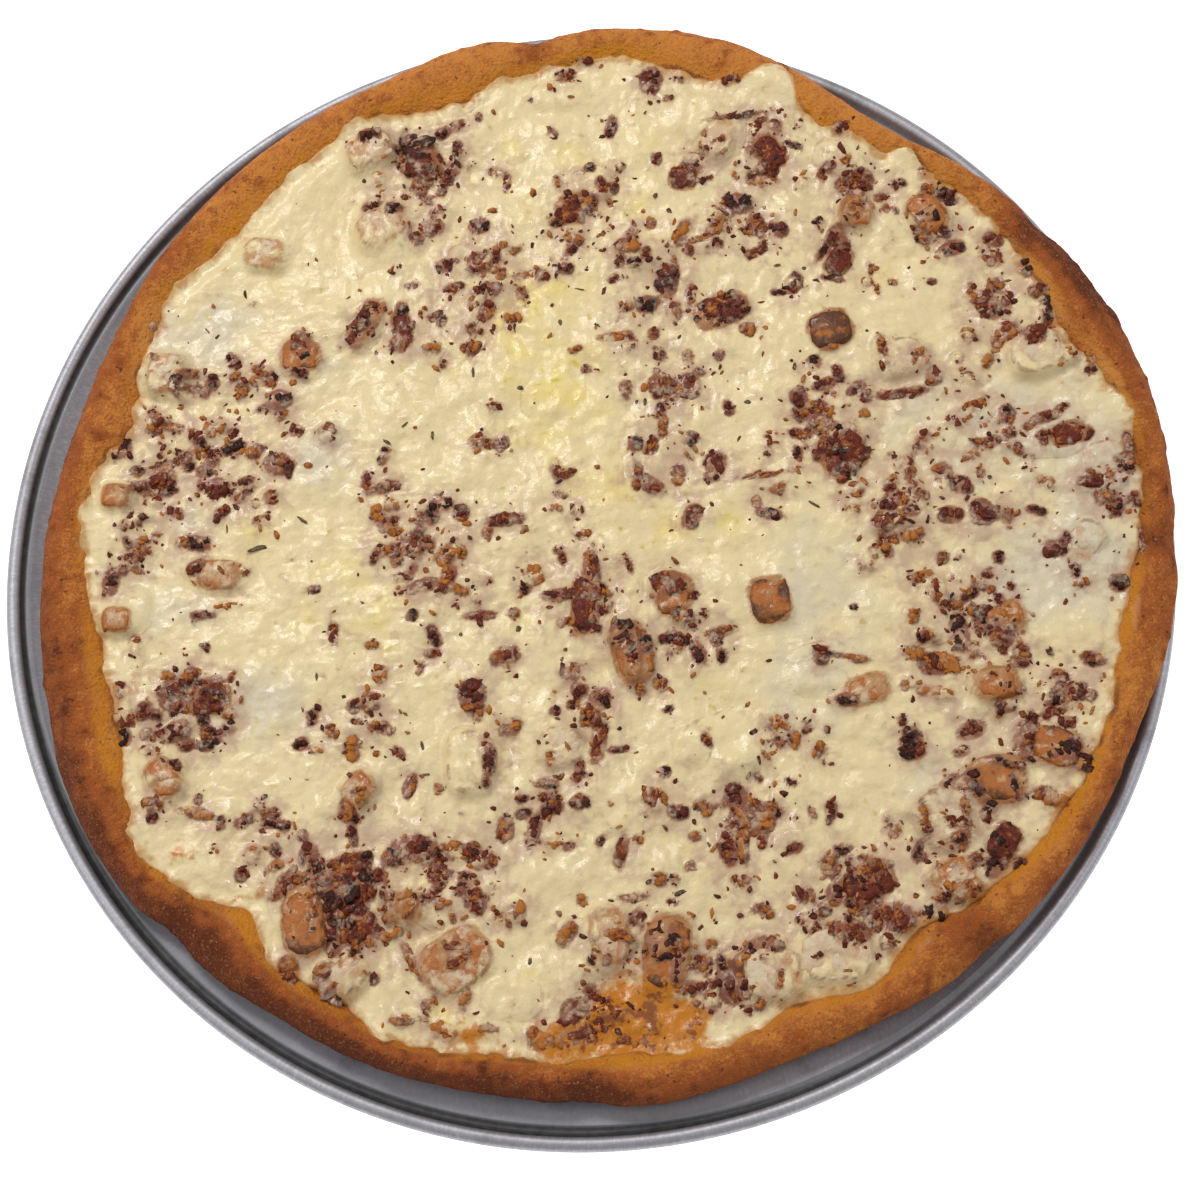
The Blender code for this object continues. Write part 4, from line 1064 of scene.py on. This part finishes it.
    def close(self, name, material):
        """Sets the points, closes the underside and makes the piece."""
        bm = self.bm
        for vert, z in zip(bm.verts, self.z):
            vert.co.z = z
        count = len(bm.verts)
        edges = [edge for edge in bm.edges if edge.is_boundary]
        for inset in (2 * MM, SLOPE_RUN):
            made = bmesh.ops.extrude_edge_only(bm, edges=edges)["geom"]
            verts = [item for item in made if isinstance(item, bmesh.types.BMVert)]
            for vert in verts:
                place = vert.co - CRUST_CENTRE
                angle = math.atan2(place.y, place.x)
                if inset == SLOPE_RUN:
                    vert.co = crust_point(angle, line_radius(angle) - inset, CRUST_FLOOR + 0.4 * MM)
                else:
                    vert.co = crust_point(angle, place.xy.length - inset, vert.co.z - 2.4 * MM)
            fresh = set(verts)
            edges = [item for item in made if isinstance(item, bmesh.types.BMEdge) and fresh.issuperset(item.verts)]
        bmesh.ops.contextual_create(bm, geom=edges)
        bmesh.ops.recalc_face_normals(bm, faces=bm.faces)
        total = len(bm.verts)
        piece = finish_piece(name, bm, material, ["cheese"])
        fields = {"stain": self.stain, "ring": self.ring, "tan": self.tan, "wine": self.wine, "greasy": self.greasy}
        fields |= {"butter": self.butter, "pale": self.pale, "amber": self.amber, "inside": self.inside / MM}
        for key, values in fields.items():
            write_field(piece.data, key, np.concatenate([values, np.zeros(total - count)]))
        return piece


def cheese_material(settings):
    """Melted cheese: cream with yellow pools and paler skins, glossy, and stained round the bacon."""
    paint = Paint("melted cheese")
    # The fields that the toppings leave in the cheese, each from 0 to 1, and the distance to its edge
    stain, ring, tan, wine, greasy = (paint.attribute(key) for key in ("stain", "ring", "tan", "wine", "greasy"))
    butter, pale, amber, inside = (paint.attribute(key) for key in ("butter", "pale", "amber", "inside"))
    broad = paint.noise(0.055, 1, 0.5)
    pool = paint.noise(0.017, 2, 0.55)
    marble = paint.noise(0.0080, 2, 0.62)
    mottle = paint.noise(0.0042, 2, 0.65)
    fine = paint.noise(0.0013, 1, 0.6)
    speck = paint.noise(0.0042, 1, 0.4)
    skin = pale * 0.75 + (broad - 0.5) * 0.9 + (pool - 0.5) * 1.3
    tint = paint.mix(skin.between(0.2, 0.9), settings.cream, settings.white)
    tint = paint.mix((butter * 0.65 + (pool - 0.5) * 1.9).between(0.25, 0.95), tint, settings.yellow)
    tint = paint.mix(mottle.between(0.52, 0.74) * 0.25, tint, DULL_CHEESE)
    tint = paint.mix((butter * 0.55 + (mottle - 0.5) * 2.4).between(0.70, 1.0) * 0.65, tint, BUTTERFAT)
    tint = paint.mix(speck.between(0.70, 0.79) * 0.6, tint, BUTTER_SPECK)
    curd = paint.cells(0.0060)
    tint = paint.mix(curd.between(0.48, 0.80) * (greasy * 1.1 + 0.10).clamp() * 0.42, tint, GREASY_CURD)
    # Fat from the bacon marbles the cheese where the bits lie thick
    fat = (greasy * 0.62 + (marble - 0.5) * 1.9 + (mottle - 0.5) * 0.9).between(0.20, 0.85)
    tint = paint.mix(fat * 0.62 * greasy.between(0.02, 0.5), tint, settings.stain)
    brown = (stain + (mottle - 0.5) * 1.0 + (fine - 0.5) * 0.5).between(0.35, 1.1)
    tint = paint.mix(brown * 0.46, tint, BROWN_HALO)
    seep = stain + (mottle - 0.5) * 0.9 + (fine - 0.5) * 0.4
    tint = paint.mix(seep.between(0.76, 1.12) * 0.88, tint, DEEP_HALO)
    tint = paint.mix((tan + (mottle - 0.5) * 0.9).between(0.12, 0.95) * 0.85, tint, TAN_SKIN)
    tint = paint.mix((tan + (marble - 0.5) * 2.2).between(0.75, 1.4) * 0.8, tint, BROWN_SKIN)
    tint = paint.mix((wine + (mottle - 0.5) * 0.6).between(0.15, 0.85) * 0.85, tint, WINE_SKIN)
    rind = (1 - inside / 6.0) + (marble - 0.5) * 1.6 + (mottle - 0.5) * 0.8
    tint = paint.mix(rind.between(0.25, 0.95) * 0.8, tint, CHEESE_RIND)
    line = (ring + (mottle - 0.5) * 0.6).between(0.40, 0.95)
    tint = paint.mix(line * 0.55, tint, LUMP_LINE)
    oily = (amber + (mottle - 0.5) * 1.1 + (marble - 0.5) * 0.8).between(0.25, 0.75)
    tint = paint.mix(oily, tint, AMBER_OIL)
    burnt = amber + (marble - 0.5) * 2.8 + (fine - 0.5)
    tint = paint.mix(burnt.between(1.02, 1.35) * 0.85, tint, BURNT_OIL)
    rough = 0.34 + (mottle - 0.5) * 0.35 + (fine - 0.5) * 0.25
    height = mottle * 0.7 + fine * 0.08 - curd * 0.6
    normal = paint.bump(height, 0.0008)
    paint.gloss(0.35, 0.12)
    paint.shader.inputs["IOR"].default_value = 1.45
    return paint.finish(Base_Color=tint, Roughness=rough, Coat_Weight=mottle.between(0.40, 0.7) * 0.5, Normal=normal)


Lump = namedtuple("Lump", "node middle top half_long half_wide turn tone")
Bit = namedtuple("Bit", "x y z half_long half_wide thick turn shade")


def even_spread(rng, radius):
    """A random distance and direction, spread evenly over a round."""
    return math.sqrt(rng.random()) * radius, rng.uniform(0, math.tau)


def near_spot(rng, px, py, reach, spread):
    """A random place round a pixel of the photograph, and most often close to it."""
    far, angle = rng.gauss(0, spread) * reach, rng.uniform(0, math.tau)
    return photo_place(px + far * math.cos(angle), py + far * math.sin(angle))


def topping_lumps(kind, tones):
    """Each topping node of one kind with its middle, its half sizes, its turn and its tone, from the frame."""
    found = []
    for index, name in enumerate(sorted(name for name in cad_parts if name.startswith(kind))):
        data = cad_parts[name].data
        points = np.array([tuple(vert.co) for vert in data.vertices])
        middle = (points.min(axis=0) + points.max(axis=0)) / 2
        flat = points[:, :2] - middle[:2]
        best = min(
            (math.radians(turn) for turn in range(0, 90, 3)),
            key=lambda turn: np.ptp(flat @ (math.cos(turn), math.sin(turn)))
            * np.ptp(flat @ (-math.sin(turn), math.cos(turn))),
        )
        half_long = np.ptp(flat @ (math.cos(best), math.sin(best))) / 2
        half_wide = np.ptp(flat @ (-math.sin(best), math.cos(best))) / 2
        top = float(points[:, 2].max())
        found.append(Lump(name, middle, top, half_long, half_wide, best, tones[index % len(tones)]))
    return found


class Layout:
    """Where everything on the cheese lies, worked out once. The order of the steps fixes the random draws."""

    def __init__(self):
        self.rng = random.Random(SEED)
        self.across, self.down = pixel_spans()
        self.cheese = Cheese()
        self.chicken = topping_lumps("chicken", CHICKEN_TONES)
        self.bacon = topping_lumps("bacon", (BACON_TONE,))
        self.bits = []
        self.cover_lumps()
        self.place_photo_bits()
        self.place_heap_bits()
        self.melt_round_bits()
        self.crumbs = self.place_crumbs()
        self.smudge()
        self.break_up_bacon()

    def cover_lumps(self):
        """Lifts the cheese over the hidden lumps, and drapes it over the chicken and the large bacon."""
        for index, (px, py, wide, tall, turn) in enumerate(HIDDEN):
            x, y = photo_place(px, py)
            half_long, half_wide = wide * self.across / 2, tall * self.down / 2
            self.cheese.bulge(x, y, half_long, half_wide, math.radians(turn), HIDDEN_RISE, index * 1.7)
        for index, lump in enumerate(self.chicken):
            x, y, _ = lump.middle
            half_long, half_wide = lump.half_long * 0.95, lump.half_wide * 0.95
            cover = 0.75 - 1.5 * lump.tone
            self.cheese.wrap(x, y, lump.top - LUMP_SINK, half_long, half_wide, lump.turn, cover, index, rim=1.7 * MM)
        for index, lump in enumerate(self.bacon):
            x, y, _ = lump.middle
            top = lump.top - LUMP_SINK
            self.cheese.wrap(x, y, top, lump.half_long, lump.half_wide, lump.turn, -1.1, 50 + index, rim=1.3 * MM)

    def place_photo_bits(self):
        """The bits of bacon that show one by one in the photograph."""
        for tone, rows in PHOTO_BITS:
            for px, py, wide, tall, turn in rows:
                x, y = photo_place(px, py)
                half_long, half_wide = wide * self.across / 2 + 0.2 * MM, tall * self.down / 2 + 0.2 * MM
                thick = min(max(min(half_long, half_wide) * 0.7, 0.8 * MM), 1.9 * MM)
                shade = min(1.0, max(0.0, tone + self.rng.uniform(-0.12, 0.12)))
                height = self.cheese.height(x, y)
                self.bits.append(Bit(x, y, height, half_long, half_wide, thick, math.radians(turn), shade))

    def place_heap_bits(self):
        """Small bits in the heaps of crumbs."""
        rng = self.rng
        for px, py, reach, count in CRUMB_SPOTS:
            for _ in range(count // 4):
                x, y = near_spot(rng, px, py, reach, 0.55)
                if self.cheese.room(x, y) < 4 * MM:
                    continue
                half = rng.uniform(1.0, 2.1) * MM
                shade = rng.choice(HEAP_SHADES)
                half_long, turn = half * rng.uniform(1.0, 1.8), rng.uniform(0, 3)
                self.bits.append(Bit(x, y, self.cheese.height(x, y), half_long, half, SMALL_BIT, turn, shade))

    def melt_round_bits(self):
        """Soaks the cheese with fat, makes it uneven there and lets it run up every bit."""
        self.cheese.soak([(bit.x, bit.y, 4 * bit.half_long * bit.half_wide) for bit in self.bits], 6.0 * MM, 4.2)
        self.cheese.z += 0.55 * MM * self.cheese.ripple(3.4 * MM, 8) * self.cheese.greasy
        for index, bit in enumerate(self.bits):
            cover = self.rng.uniform(-0.60, 0.22) if bit.thick > SMALL_BIT else self.rng.uniform(-0.8, -0.1)
            top, wine = bit.z + 0.75 * bit.thick, 0.35 + 0.65 * bit.shade
            shape = (bit.x, bit.y, top, bit.half_long, bit.half_wide, bit.turn)
            self.cheese.wrap(*shape, cover, 90 + index, rim=1.2 * MM, power=2.2, wine=wine)

    def place_crumbs(self):
        """Small crumbs: thick in the photographed heaps, and thin over the rest."""
        rng = self.rng
        placed = []
        for px, py, reach, count in CRUMB_SPOTS:
            placed += [near_spot(rng, px, py, reach, 0.6) for _ in range(count)]
        for bit in self.bits:
            for _ in range(1 + int(bit.half_long * bit.half_wide / (4 * MM) ** 2 * 2.5)):
                far, angle = rng.uniform(1.0, 2.6), rng.uniform(0, math.tau)
                x, y = far * bit.half_long * math.cos(angle), far * bit.half_wide * math.sin(angle)
                placed.append((bit.x + x, bit.y + y))
        for _ in range(bpy.context.scene.pizza_topping.crumbs):
            far, angle = even_spread(rng, CRUST_RADIUS - 20 * MM)
            placed.append(tuple(crust_point(angle, far, 0).xy))
        crumbs = []
        for x, y in placed:
            place = Vector((x, y)) - CRUST_CENTRE.xy
            if place.length > line_radius(math.atan2(place.y, place.x)) - 2 * MM:
                continue
            size = rng.choice(CRUMB_SIZES) * MM * rng.uniform(0.8, 1.2)
            shade = rng.choice(CRUMB_SHADES)
            crumbs.append((x, y, self.cheese.height(x, y) + rng.uniform(-0.35, 0.3) * size, size, shade))
        for x, y, z, size, shade in crumbs:
            self.cheese.dimple(x, y, size * 0.8, 0.12 * size, 0.5)
        return crumbs

    def smudge(self):
        """Small stains all over the cheese."""
        rng = self.rng
        for _ in range(SMUDGES):
            far, angle = even_spread(rng, CRUST_RADIUS - 22 * MM)
            place = crust_point(angle, far, 0)
            self.cheese.dimple(place.x, place.y, rng.uniform(0.2, 1.6) * MM, 0.1 * MM, rng.uniform(0.25, 0.7))

    def break_up_bacon(self):
        """Bits on top of the large pieces of bacon, which so look crumbled."""
        rng = self.rng
        for lump in self.bacon:
            cos, sin = math.cos(lump.turn), math.sin(lump.turn)
            for _ in range(max(4, int(lump.half_long * lump.half_wide / (5 * MM) ** 2 * 4))):
                far, angle = even_spread(rng, 0.95)
                along, across = far * lump.half_long * math.cos(angle), far * lump.half_wide * math.sin(angle)
                x = lump.middle[0] + along * cos - across * sin
                y = lump.middle[1] + along * sin + across * cos
                half = rng.uniform(1.2, 2.6) * MM
                z = lump.top - 0.9 * MM - 1.2 * MM * far**2
                shade = rng.choice(TOP_SHADES)
                self.bits.append(Bit(x, y, z, half * 1.4, half, 1.3 * MM, rng.uniform(0, 3), shade))


@cache
def layout():
    """The shared layout, made on first use."""
    return Layout()


class PIZZA_OT_cheese(bpy.types.Operator):
    """Melts the cheese over the crust's slope and round every topping"""

    bl_idname = "pizza.cheese"
    bl_label = "Cheese"

    def execute(self, context):
        layout().cheese.close("cheese_melt", cheese_material(context.scene.pizza_cheese))
        return {"FINISHED"}


def lump_from_node(name, seed, relief):
    """A finer copy of one topping's solid, with its corners softened and its faces roughened."""
    bm = bmesh.new()
    bm.from_mesh(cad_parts[name].data)
    bmesh.ops.remove_doubles(bm, verts=bm.verts, dist=0.00002)
    for _ in range(2):
        bmesh.ops.subdivide_edges(bm, edges=bm.edges, cuts=1, use_grid_fill=True)
        bmesh.ops.smooth_vert(bm, verts=bm.verts, factor=0.5, use_axis_x=True, use_axis_y=True, use_axis_z=True)
    bmesh.ops.subdivide_edges(bm, edges=bm.edges, cuts=1, use_grid_fill=True)
    bm.normal_update()
    offset = Vector((seed * 1.3, seed * 0.7, seed * 2.1))
    middle = sum((vert.co for vert in bm.verts), Vector()) / len(bm.verts)
    for vert in bm.verts:
        rough = noise.noise(vert.co / (6 * MM) + offset) + 0.45 * noise.noise(vert.co / (2.2 * MM) + offset)
        rough += 0.2 * noise.noise(vert.co / (1.0 * MM) + offset)
        vert.co = middle + (vert.co - middle) * 1.05 + vert.normal * relief * rough
    return bm


def join_lumps(name, lumps, relief, material, replaced):
    """Joins one kind of topping into a piece, and keeps each lump's tone and its nearness to an edge."""
    whole = bmesh.new()
    tone_layer = whole.verts.layers.float.new("tone")
    edge_layer = whole.verts.layers.float.new("edge")
    lift_layer = whole.verts.layers.float.new("lift")
    for seed, (node, middle, top, half_long, half_wide, turn, tone) in enumerate(lumps):
        bm = lump_from_node(node, seed, relief)
        mesh = bpy.data.meshes.new("part")
        bm.to_mesh(mesh)
        bm.free()
        first = len(whole.verts)
        whole.from_mesh(mesh)
        bpy.data.meshes.remove(mesh)
        whole.verts.ensure_lookup_table()
        for vert in whole.verts[first:]:
            across, along = vert.co.x - middle[0], vert.co.y - middle[1]
            u = (across * math.cos(turn) + along * math.sin(turn)) / half_long
            v = (along * math.cos(turn) - across * math.sin(turn)) / half_wide
            vert[tone_layer] = tone
            vert[edge_layer] = max(abs(u), abs(v))
            vert[lift_layer] = 1 + (vert.co.z - top) / (4.5 * MM)
    return finish_piece(name, whole, material, replaced)


def chicken_material(settings):
    """Roast chicken: pale flesh, golden to brown on its skin and darkest along its edges."""
    paint = Paint("roast chicken")
    tone = paint.attribute("tone")
    edge = paint.attribute("edge")
    lift = paint.attribute("lift")
    broad = paint.noise(0.006, 3, 0.6)
    veil = paint.noise(0.0085, 3, 0.6)
    fibre = paint.noise(0.0014, 3, 0.65)
    seared = tone * 1.35 + (edge - 0.62) * 0.80 + (broad - 0.5) * 2.3 + (fibre - 0.5) * 0.6
    tint = paint.mix(seared.between(0.30, 0.90), settings.flesh, settings.seared)
    tint = paint.mix(seared.between(1.05, 1.60), tint, CHICKEN_CHAR)
    tint = paint.mix(fibre.between(0.5, 0.75) * 0.30, tint, CHICKEN_FIBRE)
    film = 0.95 - lift * 0.40 - tone * 0.85 + (veil - 0.5) * 2.8 + (fibre - 0.5) * 0.5
    tint = paint.mix(film.between(0.20, 0.60) * 0.85, tint, CHICKEN_FILM)
    normal = paint.bump(fibre * 0.6 + broad, 0.0008)
    paint.gloss(0.30, 0.15)
    rough = 0.46 + (fibre - 0.5) * 0.3
    return paint.finish(Base_Color=tint, Roughness=rough, Coat_Weight=broad.between(0.4, 0.7) * 0.6, Normal=normal)


def bacon_material(settings):
    """Fried bacon: maroon lean, amber fat and near-black edges, glossy with fat."""
    paint = Paint("fried bacon")
    tone = paint.attribute("tone")
    lift = paint.attribute("lift")
    veil = paint.noise(0.0065, 3, 0.6)
    streak = paint.noise(0.0032, 3, 0.6, distortion=1.2)
    fine = paint.noise(0.0010, 3, 0.65)
    value = tone + (streak - 0.5) * 1.55 + (fine - 0.5) * 0.7
    tint = paint.mix(value.between(0.08, 0.46), settings.fat, settings.lean)
    tint = paint.mix(value.between(0.52, 0.84), tint, settings.char)
    tint = paint.mix(fine.between(0.56, 0.76) * 0.35, tint, BACON_GLINT)
    film = 0.66 - lift * 0.46 + (veil - 0.5) * 2.7 + (streak - 0.5) * 0.6
    tint = paint.mix(film.between(0.30, 0.85) * 0.80, tint, BACON_FILM)
    normal = paint.bump(fine * 0.5 + streak, 0.0005)
    paint.gloss(0.16, 0.12)
    rough = 0.34 + (fine - 0.5) * 0.35
    return paint.finish(Base_Color=tint, Roughness=rough, Coat_Weight=streak.between(0.5, 0.75) * 0.45, Normal=normal)


class PIZZA_OT_chicken(bpy.types.Operator):
    """Carves the chicken cubes from their solids"""

    bl_idname = "pizza.chicken"
    bl_label = "Chicken"

    def execute(self, context):
        lumps = layout().chicken
        material = chicken_material(context.scene.pizza_topping)
        join_lumps("chicken_cubes", lumps, CHICKEN_RELIEF, material, [lump.node for lump in lumps])
        return {"FINISHED"}


def round_shape(subdivisions):
    """A ball as an array of points and an array of triangles."""
    bm = bmesh.new()
    bmesh.ops.create_icosphere(bm, subdivisions=subdivisions, radius=1)
    points = np.array([tuple(vert.co) for vert in bm.verts])
    faces = np.array([[vert.index for vert in face.verts] for face in bm.faces])
    bm.free()
    return points, faces


def ragged(points, amounts, offset):
    """How far each point of a ball moves in or out, from noise of a few sizes."""
    total = np.ones(len(points))
    for size, amount in amounts:
        total += amount * np.array([noise.noise(Vector(point) * size + offset) for point in points])
    return total[:, None]


class Heap:
    """Gathers many small lumps into one mesh."""

    def __init__(self):
        self.points, self.faces, self.tones, self.lifts = [], [], [], []
        self.total = 0

    def add(self, points, faces, tone, lift=1.0):
        self.points.append(points)
        self.faces.append(faces + self.total)
        self.tones.append(np.full(len(points), tone))
        self.lifts.append(np.zeros(len(points)) + lift)
        self.total += len(points)

    def make(self, name, material, slot):
        mesh = bpy.data.meshes.new(name)
        mesh.from_pydata(np.concatenate(self.points).tolist(), [], np.concatenate(self.faces).tolist())
        write_field(mesh, "tone", np.concatenate(self.tones))
        write_field(mesh, "lift", np.concatenate(self.lifts))
        return finish_mesh(name, mesh, material, [])


def shape_bit(heap, balls, bit, seed):
    """One torn bit of bacon: a crumbly cluster of small lumps, partly sunk in the cheese."""
    x, y, z, half_long, half_wide, thick, turn, shade = bit
    rng = random.Random(seed)
    if half_wide > half_long:
        half_long, half_wide, turn = half_wide, half_long, turn + math.pi / 2
    lumps = max(2, min(6, round(0.7 + 1.1 * half_long / half_wide + half_wide / (3.0 * MM))))
    spin = np.array(Matrix.Rotation(turn, 3, "Z"))
    ball, faces = balls[1 if half_wide > LARGE_BIT else 0]
    for index in range(lumps):
        along = (-0.60 + 1.20 * index / (lumps - 1) + rng.uniform(-0.12, 0.12)) * half_long
        across = rng.uniform(-0.42, 0.42) * half_wide
        size = (
            max(half_long / lumps * 1.35, 0.40 * half_long) * rng.uniform(0.75, 1.1),
            half_wide * rng.uniform(0.55, 0.92),
            thick * rng.uniform(0.85, 1.1),
        )
        offset = Vector((seed * 0.91, index * 1.7, seed * 0.43))
        shape = np.sign(ball) * np.abs(ball) ** 0.75 * size * ragged(ball, ((1.4, 0.60), (3.2, 0.26)), offset) * 0.96
        lean = np.array(Euler((rng.uniform(-0.3, 0.3), rng.uniform(-0.3, 0.3), rng.uniform(-0.6, 0.6))).to_matrix())
        shape = (shape @ lean.T + (along, across, 0)) @ spin.T + (x, y, z - 0.1 * thick + 0.12 * thick * (index % 3))
        lift = np.clip((shape[:, 2] - z) / thick, -1, 1)
        heap.add(shape, faces, min(1.0, max(0.0, shade + rng.uniform(-0.18, 0.18))), lift)


class PIZZA_OT_bacon(bpy.types.Operator):
    """Fries the bacon: large pieces from their solids, and the bits that the photograph shows"""

    bl_idname = "pizza.bacon"
    bl_label = "Bacon"

    def execute(self, context):
        lumps = layout().bacon
        material = bacon_material(context.scene.pizza_topping)
        join_lumps("bacon_pieces", lumps, BACON_RELIEF, material, [lump.node for lump in lumps])
        balls = [round_shape(2), round_shape(3)]
        heaps = {"bacon_bits": Heap(), "bacon_edges": Heap()}
        for seed, bit in enumerate(layout().bits):
            lean = 0.3 < bit.shade < 0.66
            shape_bit(heaps["bacon_bits" if lean else "bacon_edges"], balls, bit, seed)
        for name, heap in heaps.items():
            heap.make(name, material, "bacon")
        return {"FINISHED"}


class PIZZA_OT_crumbs(bpy.types.Operator):
    """Scatters the small bacon crumbs"""

    bl_idname = "pizza.crumbs"
    bl_label = "Crumbs"

    def execute(self, context):
        rng = random.Random(SEED + 1)
        ball, faces = round_shape(1)
        shapes = [ball * ragged(ball, ((1.9, 0.8),), Vector((seed * 5.3, 0, 0))) for seed in range(12)]
        heap = Heap()
        for index, (x, y, z, size, shade) in enumerate(layout().crumbs):
            turn = Euler((rng.uniform(-0.5, 0.5), rng.uniform(-0.5, 0.5), rng.uniform(0, math.tau))).to_matrix()
            stretch = (size * rng.uniform(0.9, 1.8), size * rng.uniform(0.6, 1.0), size * 0.6)
            heap.add(shapes[index % len(shapes)] * stretch @ np.array(turn).T + (x, y, z), faces, shade)
        heap.make("bacon_crumbs", bpy.data.materials["fried bacon"], "bacon")
        return {"FINISHED"}


def herb_material():
    """Dried herbs: dark olive, a little yellow."""
    paint = Paint("dried herb")
    vein = paint.noise(0.0012, 2, 0.6)
    tint = paint.mix(vein.between(0.35, 0.7), HERB_DARK, HERB_LIGHT)
    return paint.finish(Base_Color=tint, Roughness=0.45 + vein * 0.2, Normal=paint.bump(vein, 0.0003))


class PIZZA_OT_herbs(bpy.types.Operator):
    """Lays the flecks of herb"""

    bl_idname = "pizza.herbs"
    bl_label = "Herbs"

    def execute(self, context):
        across, down = layout().across, layout().down
        cheese = layout().cheese
        ball, faces = round_shape(2)
        heap = Heap()
        for seed, (px, py, wide, tall, turn) in enumerate(HERBS):
            x, y = photo_place(px, py)
            turned = np.array(Matrix.Rotation(math.radians(turn), 3, "Z"))
            shape = ball * (0.4 * wide * across, 0.4 * tall * down, 0.3 * MM)
            shape = shape * ragged(ball, ((1.6, 0.6),), Vector((0, seed * 3.1, 0)))
            heap.add(shape @ turned.T + (x, y, cheese.height(x, y) + 0.15 * MM), faces, 0.5)
        heap.make("herb_flecks", herb_material(), "cheese")
        return {"FINISHED"}


def area_light(name, place, side, power, tint):
    """A square soft light that faces the middle of the table."""
    data = bpy.data.lights.new(name, "AREA")
    data.shape = "SQUARE"
    data.size = side
    data.energy = power
    data.color = tint
    light = bpy.data.objects.new(name, data)
    bpy.context.scene.collection.objects.link(light)
    light.location = place
    light.rotation_euler = (-Vector(place)).to_track_quat("-Z", "Y").to_euler()


class PIZZA_OT_stage(bpy.types.Operator):
    """Sets the floor, the lights and the camera"""

    bl_idname = "pizza.stage"
    bl_label = "Stage"

    def execute(self, context):
        settings = context.scene.pizza_stage
        scene = context.scene
        bm = bmesh.new()
        bmesh.ops.create_grid(bm, x_segments=1, y_segments=1, size=FLOOR_REACH)
        bmesh.ops.translate(bm, vec=(0, 0, -FLOOR_GAP), verts=bm.verts)
        mesh = bpy.data.meshes.new("floor")
        bm.to_mesh(mesh)
        bm.free()
        floor = bpy.data.objects.new("floor", mesh)
        scene.collection.objects.link(floor)
        paint = Paint("white floor")
        paint.shader.inputs["Emission Color"].default_value = (1, 1, 1, 1)
        paint.shader.inputs["Emission Strength"].default_value = 1.0
        mesh.materials.append(paint.finish(Base_Color=(0.5, 0.5, 0.5), Roughness=0.9))
        area_light("key light", KEY_PLACE, KEY_SIDE, settings.key, KEY_COLOUR)
        area_light("left softbox", LEFT_PLACE, SOFTBOX_SIDE, settings.soft, WHITE)
        area_light("right softbox", RIGHT_PLACE, SOFTBOX_SIDE, settings.soft, WHITE)
        world = bpy.data.worlds.new("surroundings")
        world.use_nodes = True
        sky = world.node_tree.nodes["Background"]
        sky.inputs["Color"].default_value = (1, 1, 1, 1)
        sky.inputs["Strength"].default_value = settings.sky
        scene.world = world
        scene.view_settings.view_transform = "Standard"
        data = bpy.data.cameras.new("camera")
        data.lens = CAMERA_LENS
        data.sensor_width = CAMERA_SENSOR
        data.clip_end = CAMERA_REACH
        camera = bpy.data.objects.new("camera", data)
        scene.collection.objects.link(camera)
        right, up, back = camera_axes()
        place = CAMERA_TARGET + back * CAMERA_DISTANCE
        camera.matrix_world = Matrix.Translation(place) @ Matrix((right, up, back)).transposed().to_4x4()
        scene.camera = camera
        return {"FINISHED"}


class PIZZA_PT_pieces(bpy.types.Panel):
    """Lists the pieces of the pizza and its stage."""

    bl_idname = "PIZZA_PT_pieces"
    bl_label = "Pan Pizza"
    bl_space_type = "VIEW_3D"
    bl_region_type = "UI"
    bl_category = "Pan Pizza"

    def draw(self, context):
        for operator in STEPS:
            self.layout.operator(operator.bl_idname)
        for group in GROUPS:
            settings = getattr(context.scene, group)
            box = self.layout.box()
            for key in type(settings).__annotations__:
                box.prop(settings, key)


STEPS = (
    PIZZA_OT_stage,
    PIZZA_OT_pan,
    PIZZA_OT_crust,
    PIZZA_OT_cheese,
    PIZZA_OT_chicken,
    PIZZA_OT_bacon,
    PIZZA_OT_crumbs,
    PIZZA_OT_herbs,
)
GROUPS = {
    "pizza_pan": PanSettings,
    "pizza_crust": CrustSettings,
    "pizza_cheese": CheeseSettings,
    "pizza_topping": ToppingSettings,
    "pizza_stage": StageSettings,
}
CLASSES = (*GROUPS.values(), *STEPS, PIZZA_PT_pieces)


def register():
    for item in CLASSES:
        bpy.utils.register_class(item)
    for name, group in GROUPS.items():
        setattr(bpy.types.Scene, name, PointerProperty(type=group))


def unregister():
    for name in GROUPS:
        delattr(bpy.types.Scene, name)
    for item in reversed(CLASSES):
        bpy.utils.unregister_class(item)


def main():
    """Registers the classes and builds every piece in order."""
    register()
    for step in STEPS:
        group, action = step.bl_idname.split(".")
        getattr(getattr(bpy.ops, group), action)()


if __name__ == "__main__":
    main()
